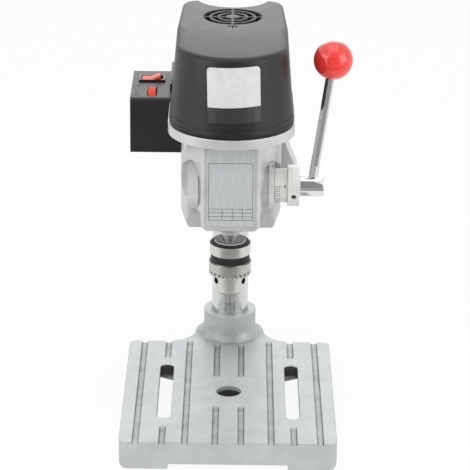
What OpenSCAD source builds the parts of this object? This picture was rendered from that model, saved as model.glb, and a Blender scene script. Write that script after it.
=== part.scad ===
// Benchtop drill press: slotted cast base, round column, hand-fed quill with a keyed chuck,
// vertical motor with a stepped belt drive under a lift-off cover, and a switch box on the left.
// Millimetres. The origin lies on the floor under the spindle axis, +Z is up and -Y is the front.

/* [Base] */
// Width of the base plate
base_w = 165; // [155:1:190]
// Depth of the base plate, front to back
base_d = 190; // [184:1:196]
// Distance of the plate's front edge in front of the spindle axis
base_front = 92.5; // [90:0.5:96]
// Height of the table surface above the floor
base_h = 22; // [20:0.5:28]
// Thickness of the table plate
plate_t = 9; // [7:0.5:12]
// Thickness of the skirt walls under the plate
skirt_t = 8; // [5:0.5:11]
// Corner radius of the plate
base_corner = 6; // [4:0.5:10]
// Width of each front foot
foot_w = 37; // [25:1:50]
// Height of the relief between the front feet
foot_relief = 4; // [2:0.5:5]
// Distance of each clamping slot from the centre line
slot_x = 50; // [44:1:56]
// Width of a clamping slot
slot_w = 11; // [8:0.5:14]
// Length of a clamping slot, end to end
slot_len = 100; // [80:1:110]
// Diameter of the table hole under the spindle
table_hole_d = 20; // [14:0.5:26]
// Wall of the boss around the table hole
table_boss_wall = 8; // [5:0.5:12]
// Thickness of the ribs under the plate
rib_t = 8; // [5:0.5:10]
// Depth of the ribs under the plate
rib_h = 5; // [3:0.5:8]
// Distance from the table hole's centre to the place where the slanting ribs meet
rib_apex = 28; // [20:0.5:34]
// Angle of the slanting ribs to the plate's front edge
rib_angle = 30; // [20:1:36]
// Width of the grooves in the table
groove_w = 5; // [3:0.5:7]
// Depth of the grooves
groove_depth = 1.5; // [0.8:0.1:2.5]
// Distance of the inner grooves from the centre line
inner_groove_x = 9.8; // [8:0.1:14]
// Distance of the middle grooves from the centre line
mid_groove_x = 32.7; // [28:0.1:36]
// Distance of the outer grooves from the centre line
outer_groove_x = 70; // [66:0.5:72]
// Plain land left between an inner groove and the table hole
groove_land = 18; // [10:1:24]
// Plain land left between a slot and the groove that lines up with it
slot_groove_land = 14; // [8:1:24]
// Length over which a groove runs out
groove_run = 5; // [3:0.5:8]

/* [Column] */
// Distance of the column axis behind the spindle axis
column_y = 120; // [118:1:130]
// Outside diameter of the column
column_d = 30; // [26:0.5:32]
// Wall of the column tube
column_wall = 3.5; // [2.5:0.5:5]
// Height of the column above the belt tray
column_over = 42; // [38:1:50]
// Outside diameter of the base collar
collar_d = 43; // [41:0.5:48]
// Height of the plain collar band
collar_h = 11; // [8:0.5:14]
// Height of the collar's top above the table
collar_rise = 21; // [18:0.5:26]
// Spread of the fillet between the collar and the neck
collar_flare = 6; // [4:0.5:8]
// Radius of the hollow curve from the plate's back edge to the neck
neck_curve_r = 24; // [20:1:30]
// Width of the neck beside the column
neck_w = 57; // [56:0.5:62]
// Thickness of the floor under the column
socket_floor = 6; // [4:0.5:8]

/* [Head casting] */
// Height of the quill block's underside above the table
work_height = 146; // [140:1:165]
// Width of the quill block
block_w = 45; // [42:0.5:50]
// Distance of the block's front face from the spindle axis
block_front = 28; // [25:0.5:32]
// Height of the quill block up to the belt tray
block_h = 71; // [68:0.5:80]
// Radius of the quill block's upright edges
block_corner = 4; // [2:0.5:6]
// Radius of the quill block's lower corners
block_foot_r = 6; // [3:0.5:7]
// Depth of the webs below the quill block's underside
web_drop = 11; // [6:0.5:12]
// Distance over which the head widens from the quill block to the motor chamber
flank_len = 43; // [38:0.5:46]
// Radius of the belt tray's round front
tray_r = 48; // [46:0.5:54]
// Width of the tray's rear part
tray_back_w = 91; // [88:0.5:94]
// Height of the tray's rim
tray_h = 7.5; // [6:0.5:12]
// Wall of the tray's rim
tray_wall = 4; // [3:0.5:6]
// Thickness of the tray floor
tray_floor = 3; // [2.5:0.5:5]
// Outside diameter of the clamp around the column
clamp_d = 48; // [44:0.5:54]
// Width of the slit in the clamp
clamp_slit = 3; // [2:0.5:5]
// Diameter of the two clamp bolts
clamp_bolt_d = 8; // [6:0.5:9]
// Width of the blank front plate
front_plate_w = 36; // [30:0.5:37]
// Height of the blank front plate
front_plate_h = 61; // [50:0.5:64]

/* [Belt cover] */
// Height of the belt cover
cover_h = 62.5; // [56:0.5:70]
// Draw-in of the cover's sides from bottom to top
cover_taper = 5; // [3:0.5:9]
// Extra draw-in of the cover's front
cover_front_taper = 4.5; // [2:0.5:7]
// Step from the tray's rim in to the cover
cover_step = 1; // [0.5:0.1:2]
// Wall of the cover
cover_wall = 2.5; // [2:0.1:3]
// Radius of the cover's top edge
cover_round = 4; // [2.5:0.5:6]
// Fall of the cover's top towards the front
cover_dip = 3; // [0:0.5:5]
// Clear space between the column and the cover's hollow back
cover_column_gap = 14; // [10:0.5:16]
// Radius of the ring grille
grille_r = 22.5; // [18:0.5:24]
// Width of one ring slot of the grille
grille_slot = 4.2; // [2:0.1:5]

/* [Quill and feed] */
// Diameter of the quill
quill_d = 30; // [28:0.5:32]
// Travel of the quill
quill_travel = 25; // [20:1:27]
// Height of the feed shaft above the block's underside
feed_up = 20; // [19:0.5:24]
// Tooth size of the rack and pinion
gear_module = 1.25; // [1.1:0.05:1.3]
// Teeth on the pinion
pinion_teeth = 12; // [12:1:14]
// Diameter of the feed shaft
feed_shaft_d = 10; // [8:0.5:10]
// Diameter of the feed bush flange and the spring cap
feed_flange_d = 36.6; // [34:0.2:38]
// Thickness of the feed bush flange
feed_flange_t = 4.3; // [3:0.1:6]
// Thickness of the spring cap
spring_cap_t = 8; // [6:0.5:11]
// Diameter of the graduated dial
dial_d = 26.5; // [22:0.5:30]
// Width of the graduated dial
dial_w = 10.2; // [8:0.1:14]
// Diameter of the stop collar
stop_d = 32; // [28:0.5:36]
// Width of the stop collar
stop_w = 9; // [8:0.5:12]
// Diameter of the lever hub
hub_d = 17; // [15:0.5:20]
// Width of the lever hub
hub_w = 18.5; // [14:0.5:22]
// Diameter of the lever rod
lever_d = 7; // [6:0.5:8]
// Distance from the feed axis to the centre of the ball
lever_reach = 102; // [80:1:120]
// Outward lean of the lever
lever_lean = 8; // [0:0.5:10]
// Diameter of the ball
ball_d = 30; // [24:0.5:34]

/* [Spindle and chuck] */
// Diameter of the spindle in its bearings
spindle_d = 10; // [9:0.5:10]
// Diameter of the flared ring on the spindle's nose
nose_d = 17.5; // [13:0.5:18]
// Length of the nose between the block and the chuck
nose_len = 16.5; // [14:0.5:22]
// Diameter of the chuck's upper band
chuck_d = 31.4; // [31:0.2:34]
// Diameter of the chuck's toothed sleeve
sleeve_d = 32.4; // [32:0.2:36]
// Length of the chuck without its jaws
chuck_len = 43.5; // [41:0.5:46]
// Length that the closed jaws stand out below the chuck
jaw_out = 11; // [8:0.5:12]
// Diameter of a jaw
jaw_d = 5.2; // [4.6:0.1:5.4]
// Opening travel of a jaw along its own axis
jaw_travel = 13; // [10:0.5:13]

/* [Motor and belt] */
// Distance of the motor axis behind the spindle axis
motor_y = 66; // [65:0.5:67]
// Diameter of the stator
stator_d = 58; // [54:0.5:60]
// Width of the motor chamber
chamber_w = 78; // [76:0.5:82]
// Wall of the chamber in front of and behind the stator
chamber_wall = 7; // [6:0.5:7]
// Corner radius of the chamber
chamber_corner = 10; // [6:0.5:14]
// Draw-in of the chamber's lower edge
chamber_draw = 6.6; // [4:0.2:7]
// Height of the drawn-in lower part
chamber_draw_h = 17; // [10:0.5:20]
// Depth of the chamber below the quill block's underside
chamber_drop = 20; // [16:0.5:26]
// Diameter of the motor shaft
motor_shaft_d = 8; // [7:0.5:8]
// Height of one pulley step
step_h = 8; // [7:0.5:9]
// Radius of the spindle pulley's largest step
big_step_r = 28; // [26:0.5:29]
// Radius of the motor pulley's smallest step
small_step_r = 10; // [10:0.5:12]
// Change of radius from step to step
step_drop = 4; // [3:0.5:4]
// Height of the belt
belt_h = 4.6; // [4:0.2:4.8]
// Thickness of the belt
belt_t = 4; // [3:0.5:4.5]

/* [Switch box] */
// Distance of the box's outer side from the spindle axis
box_out = 79; // [74:0.5:90]
// Front of the box behind the spindle axis
box_front = 48; // [48:0.5:54]
// Depth of the box, front to back
box_d = 73; // [70:0.5:80]
// Height of the box
box_h = 44; // [42:0.5:50]
// Rise of the box's top above the belt tray
box_rise = 2; // [0:0.5:6]
// Wall of the box
box_wall = 2.5; // [2:0.1:3]
// Length of the rocker's bezel
bezel_l = 21; // [19:0.5:24]
// Width of the rocker's bezel
bezel_w = 15; // [13:0.5:17]
// Radius of the speed wheel
wheel_r = 14; // [12:0.5:16]
// Width of the speed wheel
wheel_w = 6; // [4:0.5:8]

/* [Hidden] */
$fn = 64;

// Radial running fit between pieces that turn or slide in each other
run_gap = 0.05;
// Radial gap between fixed pieces that are pushed together
seat_gap = 0.03;
// Gap between faces of pieces that move past each other
face_gap = 0.3;
// Overlap used to join or cut shapes cleanly
cut = 1;

// Heights of the main levels
block_z = base_h + work_height;
rim_z = block_z + block_h;
floor_z = rim_z + tray_floor;
tray_top = rim_z + tray_h;
feed_z = block_z + feed_up;
chamber_z = block_z - chamber_drop;
collar_top = base_h + collar_rise;
collar_z = collar_top - collar_h;
column_top = tray_top + column_over;

// Column and clamp
column_r = column_d / 2;
collar_r = collar_d / 2;
clamp_r = clamp_d / 2;
neck_r = neck_w / 2;
neck_draw = 0.4;
blend_r = neck_r - 2 * neck_draw;
base_back = base_d - base_front;
base_mid_y = base_d / 2 - base_front;
foot_edge_r = min(5, skirt_t - 2);
boss_lift = 3;
flare_sink = 0.3;
neck_half = neck_r - neck_draw + sqrt(pow(neck_curve_r, 2) - pow(base_back + neck_curve_r - column_y, 2));
column_cap_t = 3;
column_cap_lip = 8;
set_screw_r = 3;
clamp_lift = 2;
clamp_z = block_z + clamp_lift;
ear_w = 12;
ear_reach = 12;
ear_drop = 6;
bolt_inset = 12;
bolt_y = column_y + clamp_r + ear_reach / 2;
bolt_zs = [clamp_z + ear_drop + bolt_inset, rim_z - bolt_inset];
bolt_head_d = clamp_bolt_d * 1.6;
bolt_end = 2;

// Quill, pinion and rack
quill_r = quill_d / 2;
pinion_r = gear_module * pinion_teeth / 2;
rack_sink = 1.5;
rack_pitch_y = quill_r - rack_sink;
feed_y = rack_pitch_y + pinion_r;
pinion_add = 0.88 * gear_module;
pinion_ded = 1.15 * gear_module;
rack_add = 0.64 * gear_module;
rack_ded = 1.1 * gear_module;
backlash = 0.18;
tooth_pitch = PI * gear_module;
pressure = 20;
pinion_half = 11;
bush_barrel_r = pinion_r + pinion_add + 1.3;
bush_barrel = 15;
shaft_r = feed_shaft_d / 2;
quill_z = block_z + 1;
quill_len = block_h - 6;
bore_roof = 4;
bearing_od = 19;
bearing_t = 5;

// Feed pieces along the shaft, from left to right
boss_left_x = block_w / 2 + 2.5;
boss_right_x = block_w / 2 + 6.5;
flange_r = feed_flange_d / 2;
dial_x = boss_right_x + feed_flange_t + face_gap;
stop_x = dial_x + dial_w;
hub_x = stop_x + stop_w + face_gap;
lever_x = hub_x + hub_w / 2;
stop_screw_r = 2;
stop_turn = 16;
spring_wall = 1.6;
spring_t = 0.7;
spring_turns = 4;

// Spindle and chuck
spindle_r = spindle_d / 2;
chuck_top = block_z - nose_len;
chuck_bottom = chuck_top - chuck_len;
band_h = 10.9;
knurl_h = 6.6;
sleeve_h = 16.5;
sleeve_top = chuck_top - band_h - face_gap;
sleeve_z = sleeve_top - sleeve_h;
core_r = 12.5;
nut_z = 5;
nut_gap = 0.8;
nose_cone_h = 2.2;
nose_neck = 0.35 * nose_len;
nose_flare_h = 2;
neck_wall = 0.5;
crown_r = chuck_d / 2 - 3.6;
crown_core_r = spindle_r + neck_wall + 0.6;
crown_h = 1.4;
rim_slope_w = 2.1;
rim_slope_h = 1.4;
chuck_tip_r = 9.5;
jaw_angles = [-90, 30, 150];
jaw_tilt = 12;
jaw_start_r = 1.6;
jaw_len = 28;
jaw_gap = 0.35;
jaw_tip_z = chuck_bottom - jaw_out;
taper_len = 17;
taper_r = 4.2;
spindle_shoulder = 1;
drive_r = spindle_r - 0.5;
drive_flat = 3.5;

// Motor, pulleys and belt
stator_r = stator_d / 2;
chamber_half = chamber_w / 2;
chamber_front = motor_y - stator_r - chamber_wall;
chamber_back = motor_y + stator_r + chamber_wall;
flank_back = 2;
flank_lift = 3;
roof_t = 8;
roof_z = rim_z - roof_t;
motor_bearing_d = 22;
motor_bearing_t = 7;
end_cap_t = 5;
cap_floor = 2;
cap_hub_wall = 3;
lower_bearing_z = chamber_z + cap_floor;
fan_h = 6;
fan_z = roof_z - fan_h - 1;
coil_h = 6;
stack_h = 24;
stack_z = fan_z - 1 - coil_h - stack_h;
coil_z = stack_z - coil_h;
armature_r = 17;
air_gap = 0.7;
comm_r = 10;
comm_h = 10;
comm_z = coil_z - 1 - comm_h;
brush_z = comm_z + comm_h / 2;
brush_r = 3;
brush_len = 14;
holder_r = 5;
motor_shaft_r = motor_shaft_d / 2;
pulley_z = floor_z + 3;
steps = 3;
rim_lip = 1.2;
pulley_h = steps * step_h;
spindle_top = pulley_z + pulley_h + 10;
sleeve_wall = 2.5;
hub_bearing_d = 24;
hub_bearing_t = 5;
belt_step = 1;
shaft_end = 2;
belt_sink = 0.4;
post_y = (big_step_r + motor_y - small_step_r - (steps - 1) * step_drop) / 2;
post_r = 4;
post_root = 3;
post_root_r = 3;

// Brush pad on the right of the chamber
pad_rise = 13;
pad_x = chamber_half + pad_rise;
pad_half = 13;
pad_edge = 3;
pad_flat = 8;
pad_slope = 2.35;
brush_cap_t = 3;

// Cover
cover_r = tray_r - cover_step;
cover_back_w = tray_back_w - 2 * cover_step;
cover_back_y = column_y - 4;
cover_flat_y = 45;
cover_top = tray_top + cover_h;
cover_arc_r = column_r + cover_column_gap;
cover_arc_y = column_y + 4;
cover_dip_back = cover_dip * post_y / cover_flat_y;
horn_r = 8;
slab = 0.02;
round_steps = 4;
grille_y = motor_y + 2;
grille_rings = 3;
grille_pitch = 6.3;
spoke_w = 2;
screw_head_r = 2.6;
screw_head_h = 1.8;
screw_r = 1.5;
screw_len = 12;
recess_depth = 1.5;
screw_seat_z = cover_top - cover_dip + cover_dip_back - recess_depth;
post_top = screw_seat_z + recess_depth - cover_wall - 2 * face_gap;

// Switch box
box_in = tray_back_w / 2 + face_gap;
box_top = tray_top + box_rise;
box_z = box_top - box_h;
box_back = box_front + box_d;
box_mid_x = -(box_out + box_in) / 2;
box_reach = chamber_half + face_gap;
upstand_h = 8;
upstand_t = 2.5;
upstand_set = 12;
box_edge_r = 3;
box_spare = box_d - 2 * box_wall - 2 * wheel_r - bezel_w;
bezel_share = 12 / 25;
wheel_share = 2 / 25;
bezel_y = box_back - box_wall - bezel_w / 2 - bezel_share * box_spare;
bezel_x = box_mid_x - 1.2;
bezel_rim = 0.9;
lid_gap = 0.1;
bezel_t = 1.6;
housing_h = 18;
well_h = 8;
rocker_half = 7.6;
rocker_top = 4.5;
rocker_hollow = 1.6;
rocker_low = 3;
rocker_w = bezel_w - 4.6;
rocker_pivot_z = box_top - 1.5;
rocker_tilt = 11;
well_half = rocker_half * cos(rocker_tilt) + rocker_top * sin(rocker_tilt) + face_gap;
wheel_x = bezel_x + 1.2;
wheel_y = box_front + box_wall + wheel_r + wheel_share * box_spare;
wheel_out = 3;
wheel_z = box_top + wheel_out - wheel_r;
wheel_slot_l = 2 * sqrt(pow(wheel_r, 2) - pow(wheel_r - wheel_out - box_wall, 2)) + 4 * face_gap;
axle_r = 2.5;
box_screw_r = 1.5;
box_screw_in = 5;
box_screw_zs = [box_z + 3 * box_h / 11, box_z + 6 * box_h / 11];
gland_r = 6;
control_t = 3;
board_t = 1.6;
pot_r = 8;
gland_flange = 2;
gland_t = 4;

// Colours
paint = [0.73, 0.75, 0.76];
cast_silver = [0.83, 0.83, 0.82];
black = [0.16, 0.16, 0.17];
red = [0.85, 0.14, 0.12];
steel = [0.72, 0.73, 0.74];
bright = [0.85, 0.87, 0.88];
copper = [0.72, 0.42, 0.22];
brass = [0.76, 0.62, 0.30];
carbon = [0.12, 0.12, 0.12];
board_green = [0.1, 0.35, 0.18];

// Flat rectangle with rounded corners, centred on the origin
module rounded(w, d, r) {
  square([w - 2 * r, d], center = true);
  square([w, d - 2 * r], center = true);
  for (sx = [-1, 1], sy = [-1, 1])
    translate([sx * (w / 2 - r), sy * (d / 2 - r)]) circle(r);
}

// Round tube standing on the XY plane
module tube(h, outer, inner) {
  difference() {
    cylinder(r = outer, h = h);
    translate([0, 0, -cut]) cylinder(r = inner, h = h + 2 * cut);
  }
}

// Places its children on the feed axis with +Z turned to +X
module on_feed_axis(x) {
  translate([x, feed_y, feed_z]) rotate([0, 90, 0]) children();
}

// Places its children at the motor or the column axis
module at_motor(z) {
  translate([0, motor_y, z]) children();
}

module at_column(z) {
  translate([0, column_y, z]) children();
}

// Centre of the cover's hollow back, behind the column
module at_hollow(z) {
  translate([0, cover_arc_y, z]) children();
}

// Slot outline along Y with round ends
module slot(w, len) {
  square([w, len - w], center = true);
  for (s = [-1, 1]) translate([0, s * (len - w) / 2]) circle(w / 2);
}

// Base
function flare(t) = [collar_r + collar_flare * (1 - cos(t)),
  collar_z - (collar_z - base_h + flare_sink) * sin(t)];

// Neck between the plate and the collar, hollowed on both sides
module neck_plan() {
  difference() {
    translate([-neck_half, base_back - skirt_t])
      square([2 * neck_half, column_y - base_back + skirt_t]);
    for (s = [-1, 1]) translate([s * neck_half, base_back + neck_curve_r]) circle(neck_curve_r);
  }
  translate([0, column_y]) circle(neck_r);
}

// Collar that holds the column, blended down to the neck
module collar() {
  flare_steps = 12;
  intersection() {
    at_column(0) rotate_extrude() polygon(concat(
      [[0, 0], [0, collar_top], [collar_r, collar_top]],
      [for (i = [0:flare_steps]) flare(90 * i / flare_steps)],
      [[collar_r + collar_flare, 0]]));
    translate([0, column_y, -cut]) linear_extrude(collar_top + 2 * cut) {
      circle(blend_r);
      translate([-blend_r, -neck_w]) square([2 * blend_r, neck_w]);
    }
  }
}

// Spine and two slanting ribs from the table hole towards one end of the plate
module end_ribs() {
  height = rib_h + plate_t / 2;
  translate([0, 0, base_h - plate_t - rib_h]) {
    translate([-rib_t / 2, 0, 0]) cube([rib_t, rib_apex, height]);
    for (a = [rib_angle, 180 - rib_angle]) translate([0, rib_apex, 0]) rotate([0, 0, a])
      translate([0, -rib_t / 2, 0]) cube([base_w / 2 / cos(rib_angle), rib_t, height]);
  }
}

module base_underside() {
  hollow_h = base_h - plate_t;
  difference() {
    translate([0, base_mid_y, -cut]) linear_extrude(hollow_h + cut)
      rounded(base_w - 2 * skirt_t, base_d - 2 * skirt_t, base_corner);
    for (a = [0, 180]) rotate([0, 0, a]) end_ribs();
    translate([0, 0, boss_lift]) cylinder(d = table_hole_d + 2 * table_boss_wall, h = base_h);
  }
  translate([0, -base_front, 0])
    cube([base_w - 2 * foot_w, 3 * skirt_t, 2 * foot_relief], center = true);
}

// Lower long edges of the plate, rounded in three facets
module foot_edges() {
  arc = [for (a = [0:30:90]) [base_w / 2 - foot_edge_r * (1 - sin(a)), foot_edge_r * (1 - cos(a))]];
  side = base_w / 2 + cut;
  for (s = [0, 1]) mirror([s, 0, 0]) translate([0, base_back + cut, 0]) rotate([90, 0, 0])
    linear_extrude(base_d + 2 * cut) polygon(concat(arc,
      [[side, foot_edge_r], [side, -cut], [base_w / 2 - foot_edge_r, -cut]]));
}

// A groove along Y that runs out to the surface at its far end
module groove(x, from, to) {
  floor_z = base_h - groove_depth;
  over = groove_run * cut / groove_depth;
  translate([x - groove_w / 2, 0, 0]) rotate([90, 0, 90]) linear_extrude(groove_w)
    polygon([[from, floor_z], [to - groove_run, floor_z], [to + over, base_h + cut], [from, base_h + cut]]);
}

module base_grooves() {
  front = -base_front - cut;
  past = base_back + groove_run + cut;
  collar_foot = column_y - collar_r - collar_flare;
  hole_land = table_hole_d / 2 + groove_land;
  slot_land = slot_len / 2 + slot_groove_land;
  for (s = [-1, 1]) {
    groove(s * mid_groove_x, front, base_back);
    groove(s * outer_groove_x, front, past);
    groove(s * inner_groove_x, front, -hole_land);
    groove(s * inner_groove_x, hole_land, collar_foot);
    groove(s * slot_x, front, -slot_land);
    groove(s * slot_x, slot_land, past);
  }
}

module base() {
  color(paint) difference() {
    union() {
      difference() {
        translate([0, base_mid_y, 0]) linear_extrude(base_h) rounded(base_w, base_d, base_corner);
        base_underside();
        foot_edges();
      }
      linear_extrude(base_h) neck_plan();
      collar();
    }
    base_grooves();
    translate([0, 0, -cut]) cylinder(d = table_hole_d, h = base_h + 2 * cut);
    for (s = [-1, 1]) translate([s * slot_x, 0, base_h - plate_t - cut / 2])
      linear_extrude(plate_t + 2 * cut) slot(slot_w, slot_len);
    at_column(socket_floor) cylinder(r = column_r + run_gap, h = collar_top);
    translate([0, column_y, collar_z + collar_h / 2]) rotate([-90, 0, 0])
      cylinder(r = set_screw_r + seat_gap, h = collar_d);
  }
}

module column_set_screw() {
  screw_len = collar_r - column_r - face_gap;
  color(steel) translate([0, column_y + column_r + face_gap, collar_z + collar_h / 2])
    rotate([-90, 0, 0]) difference() {
      cylinder(r = set_screw_r, h = screw_len);
      translate([0, 0, screw_len - 3]) cylinder(r = set_screw_r / 2, h = 4, $fn = 6);
    }
}

module column() {
  color(bright) at_column(socket_floor) tube(column_top - socket_floor, column_r, column_r - column_wall);
}

module column_cap() {
  color(black) at_column(column_top) {
    cylinder(r = column_r - 0.5, h = column_cap_t);
    translate([0, 0, -column_cap_lip])
      cylinder(r = column_r - column_wall - seat_gap, h = column_cap_lip + cut);
  }
}

// Head casting
module tray_plan(inset) {
  back_y = cover_back_y + cover_step - inset;
  circle(tray_r - inset);
  translate([-(tray_r - inset), 0]) square([2 * (tray_r - inset), cover_flat_y]);
  translate([0, (cover_flat_y + back_y) / 2]) {
    rear_d = back_y - cover_flat_y + 2 * horn_r;
    translate([0, -horn_r]) rounded(tray_back_w - 2 * inset, rear_d, horn_r);
  }
}

// Extrudes a drawing of the XZ plane from one Y to another
module from_front(y0, y1) {
  translate([0, y1, 0]) rotate([90, 0, 0]) linear_extrude(y1 - y0) children();
}

// Motor chamber with its lower edges drawn in at the sides and the front
module chamber() {
  depth = chamber_back - chamber_front;
  draw_z = chamber_z + chamber_draw_h;
  low_half = chamber_half - chamber_draw;
  front_draw = chamber_wall / 2;
  intersection() {
    translate([0, (chamber_front + chamber_back) / 2, chamber_z]) linear_extrude(floor_z - chamber_z)
      rounded(chamber_w, depth, chamber_corner);
    from_front(0, column_y) polygon([[-low_half, chamber_z - cut], [low_half, chamber_z - cut],
      [chamber_half + cut, draw_z], [chamber_half + cut, floor_z + cut],
      [-chamber_half - cut, floor_z + cut], [-chamber_half - cut, draw_z]]);
    translate([-chamber_w, 0, 0]) rotate([90, 0, 90]) linear_extrude(2 * chamber_w)
      polygon([[chamber_front + front_draw, chamber_z - cut], [column_y, chamber_z - cut],
        [column_y, floor_z + cut], [chamber_front - cut, floor_z + cut], [chamber_front - cut, draw_z]]);
  }
}

// Boss for the right-hand brush, with a sloping top
module brush_pad() {
  low = brush_z - pad_half;
  flat_z = brush_z + pad_flat;
  high = flat_z + pad_slope * pad_rise;
  root_x = chamber_half - chamber_draw;
  from_front(motor_y - pad_half, motor_y + pad_half)
    polygon([[root_x, low], [pad_x - pad_edge, low], [pad_x, low + pad_edge], [pad_x, flat_z],
      [chamber_half, high], [root_x, high]]);
}

// Webs that carry the feed bosses down to the back of the quill block
module block_webs() {
  half = block_w / 2;
  from_front(feed_y - flange_r * 0.7, chamber_front + 2)
    polygon([[-half, block_z - web_drop], [half, block_z - web_drop], [boss_right_x, feed_z - flange_r + 2],
      [boss_right_x, feed_z], [-boss_left_x, feed_z], [-boss_left_x, feed_z - flange_r + 2]]);
}

// Quill block with its upright edges and its lower corners rounded
module quill_block() {
  depth = chamber_front + block_front + 2;
  intersection() {
    translate([0, depth / 2 - block_front, block_z]) linear_extrude(block_h + tray_floor)
      rounded(block_w, depth, block_corner);
    from_front(-block_front - cut, chamber_front + 2 * cut)
      translate([0, block_z + block_h]) rounded(block_w, 2 * block_h, block_foot_r);
  }
}

// Sloping sides between the quill block and the motor chamber
module flanks() {
  back = chamber_front + chamber_corner + flank_back;
  near = block_w / 2 - cut;
  far = chamber_half - face_gap;
  translate([0, 0, block_z + flank_lift]) linear_extrude(block_h - flank_lift + cut)
    polygon([[-near, back - flank_len], [near, back - flank_len], [far, back],
      [far - chamber_wall, back + chamber_wall], [chamber_wall - far, back + chamber_wall], [-far, back]]);
}

module clamp_ears() {
  translate([-ear_w - clamp_slit / 2, column_y, clamp_z + ear_drop])
    cube([2 * ear_w + clamp_slit, clamp_r + ear_reach, rim_z - clamp_z - ear_drop]);
}

module head_solid() {
  quill_block();
  block_webs();
  on_feed_axis(-boss_left_x) cylinder(r = flange_r - 1, h = boss_left_x + boss_right_x);
  chamber();
  flanks();
  brush_pad();
  translate([0, 0, rim_z]) linear_extrude(tray_h) tray_plan(0);
  at_column(clamp_z) cylinder(r = clamp_r, h = tray_top - clamp_z);
  clamp_ears();
}

module tray_hollow() {
  wall_r = cover_arc_r + tray_wall;
  difference() {
    translate([0, 0, floor_z]) linear_extrude(tray_h) tray_plan(tray_wall);
    at_hollow(rim_z) cylinder(r = wall_r, h = 3 * tray_h);
    at_column(rim_z) cylinder(r = clamp_r + 1, h = 3 * tray_h);
  }
}

module quill_bores() {
  translate([0, 0, block_z - web_drop - cut])
    cylinder(r = quill_r + run_gap, h = block_h - bore_roof + web_drop + cut);
  translate([0, 0, floor_z - hub_bearing_t]) cylinder(d = hub_bearing_d + 2 * seat_gap, h = tray_h);
  cylinder(r = hub_bearing_d / 2 - 3, h = floor_z);
}

module feed_bores() {
  on_feed_axis(-pinion_half - 1) cylinder(r = bush_barrel_r + seat_gap, h = 2 * block_w);
  on_feed_axis(-2 * block_w) cylinder(r = shaft_r + run_gap, h = 2 * block_w);
  on_feed_axis(boss_right_x) cylinder(r = flange_r + face_gap, h = block_w);
  on_feed_axis(-boss_left_x - block_w) cylinder(r = flange_r + face_gap, h = block_w);
}

module motor_bores() {
  at_motor(chamber_z - cut) cylinder(r = stator_r + seat_gap, h = roof_z - chamber_z + cut);
  at_motor(roof_z - cut) cylinder(d = motor_bearing_d + 2 * seat_gap, h = motor_bearing_t + cut);
  at_motor(roof_z) cylinder(r = motor_shaft_r + 2, h = tray_h + roof_t);
  translate([0, motor_y, brush_z]) rotate([0, 90, 0])
    translate([0, 0, -chamber_w]) cylinder(r = holder_r + seat_gap, h = 2 * chamber_w);
}

module clamp_bores() {
  at_column(0) cylinder(r = column_r + run_gap, h = tray_top + cut);
  translate([-clamp_slit / 2, column_y, clamp_z - cut])
    cube([clamp_slit, clamp_d, tray_top - clamp_z + 2 * cut]);
  for (z = bolt_zs) translate([-2 * ear_w, bolt_y, z]) rotate([0, 90, 0])
    cylinder(d = clamp_bolt_d + 2 * seat_gap, h = 4 * ear_w);
}

module box_screw_holes() {
  for (z = box_screw_zs) translate([-chamber_half - cut, motor_y, z]) rotate([0, 90, 0])
    cylinder(r = box_screw_r + seat_gap, h = box_screw_in + cut);
}

module head_casting() {
  color(cast_silver) difference() {
    head_solid();
    tray_hollow();
    quill_bores();
    feed_bores();
    motor_bores();
    clamp_bores();
    box_screw_holes();
    translate([0, post_y, floor_z - post_root]) cylinder(r = post_root_r + seat_gap, h = post_root + cut);
  }
}

module front_plate() {
  color(steel) translate([0, -block_front, block_z + (block_h - front_plate_h) / 2 - 1]) rotate([90, 0, 0])
    linear_extrude(0.8) translate([0, front_plate_h / 2]) rounded(front_plate_w, front_plate_h, 1);
}

module clamp_bolts() {
  color(steel) for (z = bolt_zs) translate([ear_w + clamp_slit / 2, bolt_y, z]) rotate([0, -90, 0])
    difference() {
      union() {
        translate([0, 0, -clamp_bolt_d]) cylinder(d = bolt_head_d, h = clamp_bolt_d);
        cylinder(d = clamp_bolt_d, h = 2 * ear_w + clamp_slit + bolt_end);
      }
      translate([0, 0, -clamp_bolt_d - cut]) cylinder(d = clamp_bolt_d * 0.8, h = 5, $fn = 6);
    }
}

// Feed pieces that stay with the casting
module feed_bush() {
  color(cast_silver) difference() {
    union() {
      on_feed_axis(boss_right_x) cylinder(r = flange_r, h = feed_flange_t);
      on_feed_axis(boss_right_x - bush_barrel) cylinder(r = bush_barrel_r, h = bush_barrel + cut);
    }
    on_feed_axis(0) cylinder(r = shaft_r + run_gap, h = 3 * block_w);
    translate([0, 0, block_z]) cylinder(r = quill_r + run_gap, h = block_h);
  }
}

module spring_cap() {
  color(cast_silver) difference() {
    on_feed_axis(-boss_left_x - spring_cap_t) cylinder(r = flange_r, h = spring_cap_t);
    on_feed_axis(-boss_left_x - spring_cap_t + spring_wall)
      cylinder(r = flange_r - spring_wall, h = spring_cap_t);
  }
}

function spiral(t, shift) =
  let (r = shaft_r + run_gap + shift + (flange_r - spring_wall - shaft_r - 2 * run_gap - spring_t) * t)
  [r * cos(360 * spring_turns * t), r * sin(360 * spring_turns * t)];

module return_spring() {
  n = spring_turns * 24;
  width = spring_cap_t - spring_wall - 2 * face_gap;
  color(steel) on_feed_axis(-boss_left_x - width - face_gap) linear_extrude(width) polygon(concat(
    [for (i = [0:n]) spiral(i / n, 0)],
    [for (i = [n:-1:0]) spiral(i / n, spring_t)]));
}

// Belt drive pieces that stay with the casting
module cover_post() {
  color(steel) translate([0, post_y, 0]) difference() {
    union() {
      translate([0, 0, floor_z - post_root]) cylinder(r = post_root_r, h = post_root + cut);
      translate([0, 0, floor_z]) cylinder(r = post_r, h = post_top - floor_z);
    }
    translate([0, 0, screw_seat_z - screw_len - cut])
      cylinder(r = screw_r + seat_gap, h = screw_len + 2 * cut);
  }
}

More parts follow.
